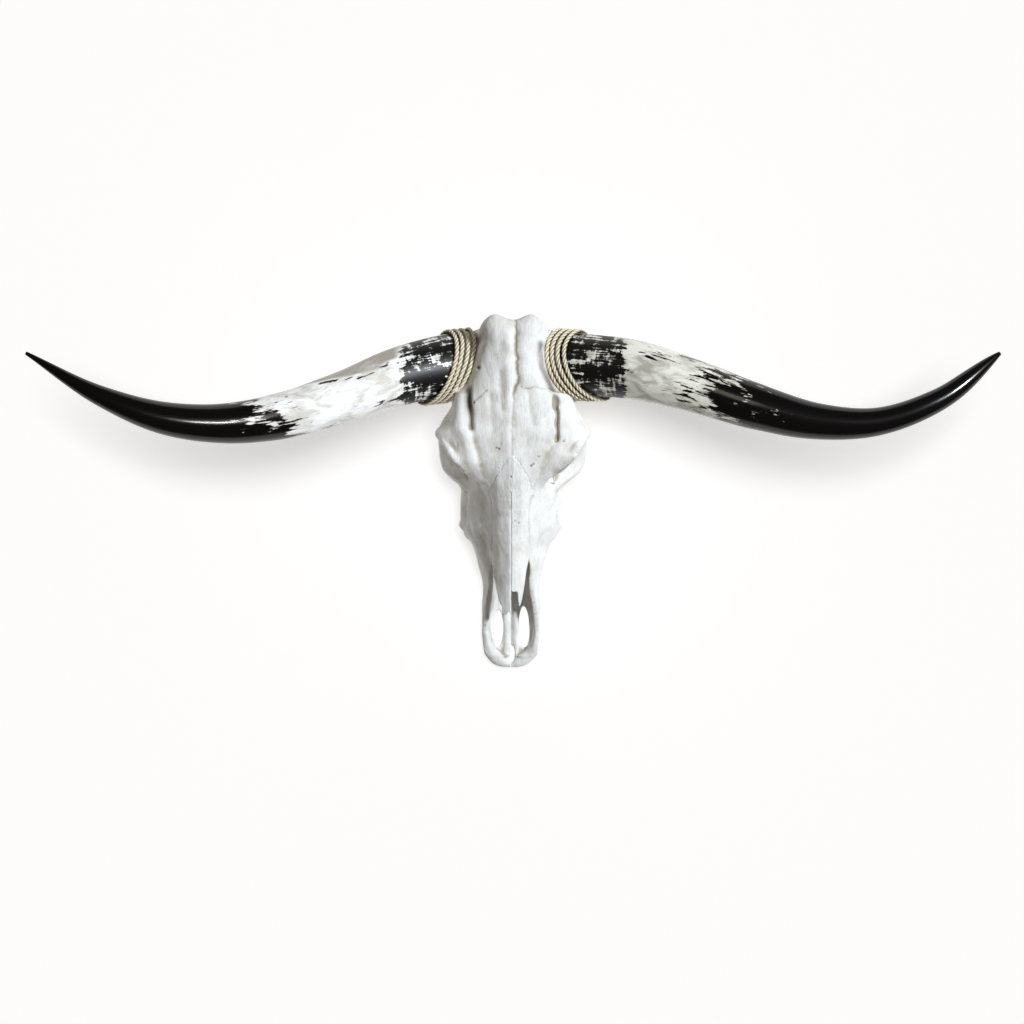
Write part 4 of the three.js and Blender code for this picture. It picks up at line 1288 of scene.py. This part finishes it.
# --- Rope -------------------------------------------------------------------------
# Three-strand laid rope of natural fibre, wound four and a bit turns round each horn
# where it leaves the skull, slanting towards the muzzle. Its ends are tucked under.

STRAND_LAY = 20.0  # length of rope in which a strand goes once round
STRAND_RADIUS = 1.42
STRAND_OFFSET = 1.4
STRAND_SIDES = 12
ROPE_STEPS = 1500
CORE_STRIDE = 4  # every fourth point of the horn's centre line is near enough
ROPE_STRAW = ("#F4ECD6", "#D8C9A4")
ROPE_SHADOW = "#4A3A22"


def rope_line(side):
    """The rope's centre line: round the horn at its radius plus the rope's, moving along
    it by the pitch each turn, gathered over the top, with the rope's lean."""
    facts = ROPES[side]
    turn = np.linspace(0, ROPE_TURNS, ROPE_STEPS)
    angle = 2 * np.pi * turn + np.pi
    across = (turn - ROPE_TURNS / 2) * (facts["pitch"] - facts["gather"] * np.sin(angle))
    loose = 0.4 * np.sin(angle * 0.73 + side) + 0.3 * np.sin(angle * 1.9)
    along = facts["middle"] + across + rope_lean(side, angle) + loose
    return round_horn(side, along, angle, ROPE_RADIUS + 0.3 + 0.2 * np.sin(angle * 1.31))


def heading(line):
    """Unit directions ahead at each point of a line."""
    return unit(np.gradient(line, axis=0))


def square_to(vectors, ahead):
    """The part of each vector square to its direction ahead, with length one."""
    return unit(vectors - ahead * np.sum(vectors * ahead, 1, keepdims=True))


def rope_material():
    """Dry sisal: pale straw and matt, with lengthwise fibres, and painted shade between its strands and on
    the half of the rope towards the horn."""
    look = Look("laid sisal rope, dry")
    fibre = look.noise(look.mark("grain", "Vector"), (9, 0.35, 1), 3, 0.6)
    straw = look.mixed(look.between(fibre, 0.35, 0.7), *ROPE_STRAW)
    colour = look.mixed(look.mark("hollow"), straw, ROPE_SHADOW)
    feed(look.material, look.shader, Base_Color=colour, Roughness=0.85)
    look.bumped(fibre, 0.7, 0.35)
    return look.material


rope_look = rope_material()
for side, name in ((-1, "left"), (1, "right")):
    line = rope_line(side)
    along = lengths_along(line)
    ahead = heading(line)
    middle = centre_line(side)[1]
    away = ((line[:, None, :] - middle[None, ::CORE_STRIDE, :]) ** 2).sum(-1)
    nearest = middle[np.argmin(away, 1) * CORE_STRIDE]
    out = square_to(line - nearest, ahead)
    aside = np.cross(ahead, out)
    turn = once_round(STRAND_SIDES)
    body, faces, marks = [], [], {"grain": [], "hollow": []}
    for strand in range(3):
        phase = (2 * np.pi * (along / STRAND_LAY + strand / 3))[:, None]
        radial = out * np.cos(phase) + aside * np.sin(phase)
        centre = line + STRAND_OFFSET * radial
        forward = heading(centre)
        radial = square_to(radial, forward)
        square = np.cross(forward, radial)
        lumps = 1 + 0.05 * np.sin(along * 1.7 + strand * 2) + 0.04 * np.sin(along * 0.61 + strand)
        ends = np.clip(np.minimum(along, along[-1] - along) / 2 + 0.3, 0, 1)
        girth = (STRAND_RADIUS * lumps * ends)[:, None]
        outwards = (girth * np.cos(turn))[..., None] * radial[:, None]
        sideways = (girth * np.sin(turn))[..., None] * square[:, None]
        rings = centre[:, None] + outwards + sideways
        faces.append(capped(rings) + sum(len(part) for part in body))
        body.append(with_ends(rings))
        # The hollow mark is painted shade: darker on each strand's side towards the rope's middle, and on
        # the half of the rope towards the horn.
        between = 0.75 * ease((1 - np.cos(turn)) / 2 + 0 * girth, 0.16, 0.6)
        height = np.sum((rings - line[:, None]) * out[:, None], -1) / ROPE_RADIUS
        under = 0.95 * (1 - ease(height, -0.1, 0.5))
        marks["hollow"].append(with_ends(np.maximum(between, under)))
        lay = STRAND_RADIUS * turn + 0.7 * along[:, None]
        places = [along[:, None] + 0 * lay, lay, 0 * lay + 7 * strand]
        marks["grain"].append(with_ends(np.stack(places, -1)))
    marks = {key: np.concatenate(value) for key, value in marks.items()}
    piece = mesh_piece("rope_wrap_" + name, np.concatenate(body), np.concatenate(faces), rope_look, marks)
    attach(piece, "root")
    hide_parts("rope_" + name)
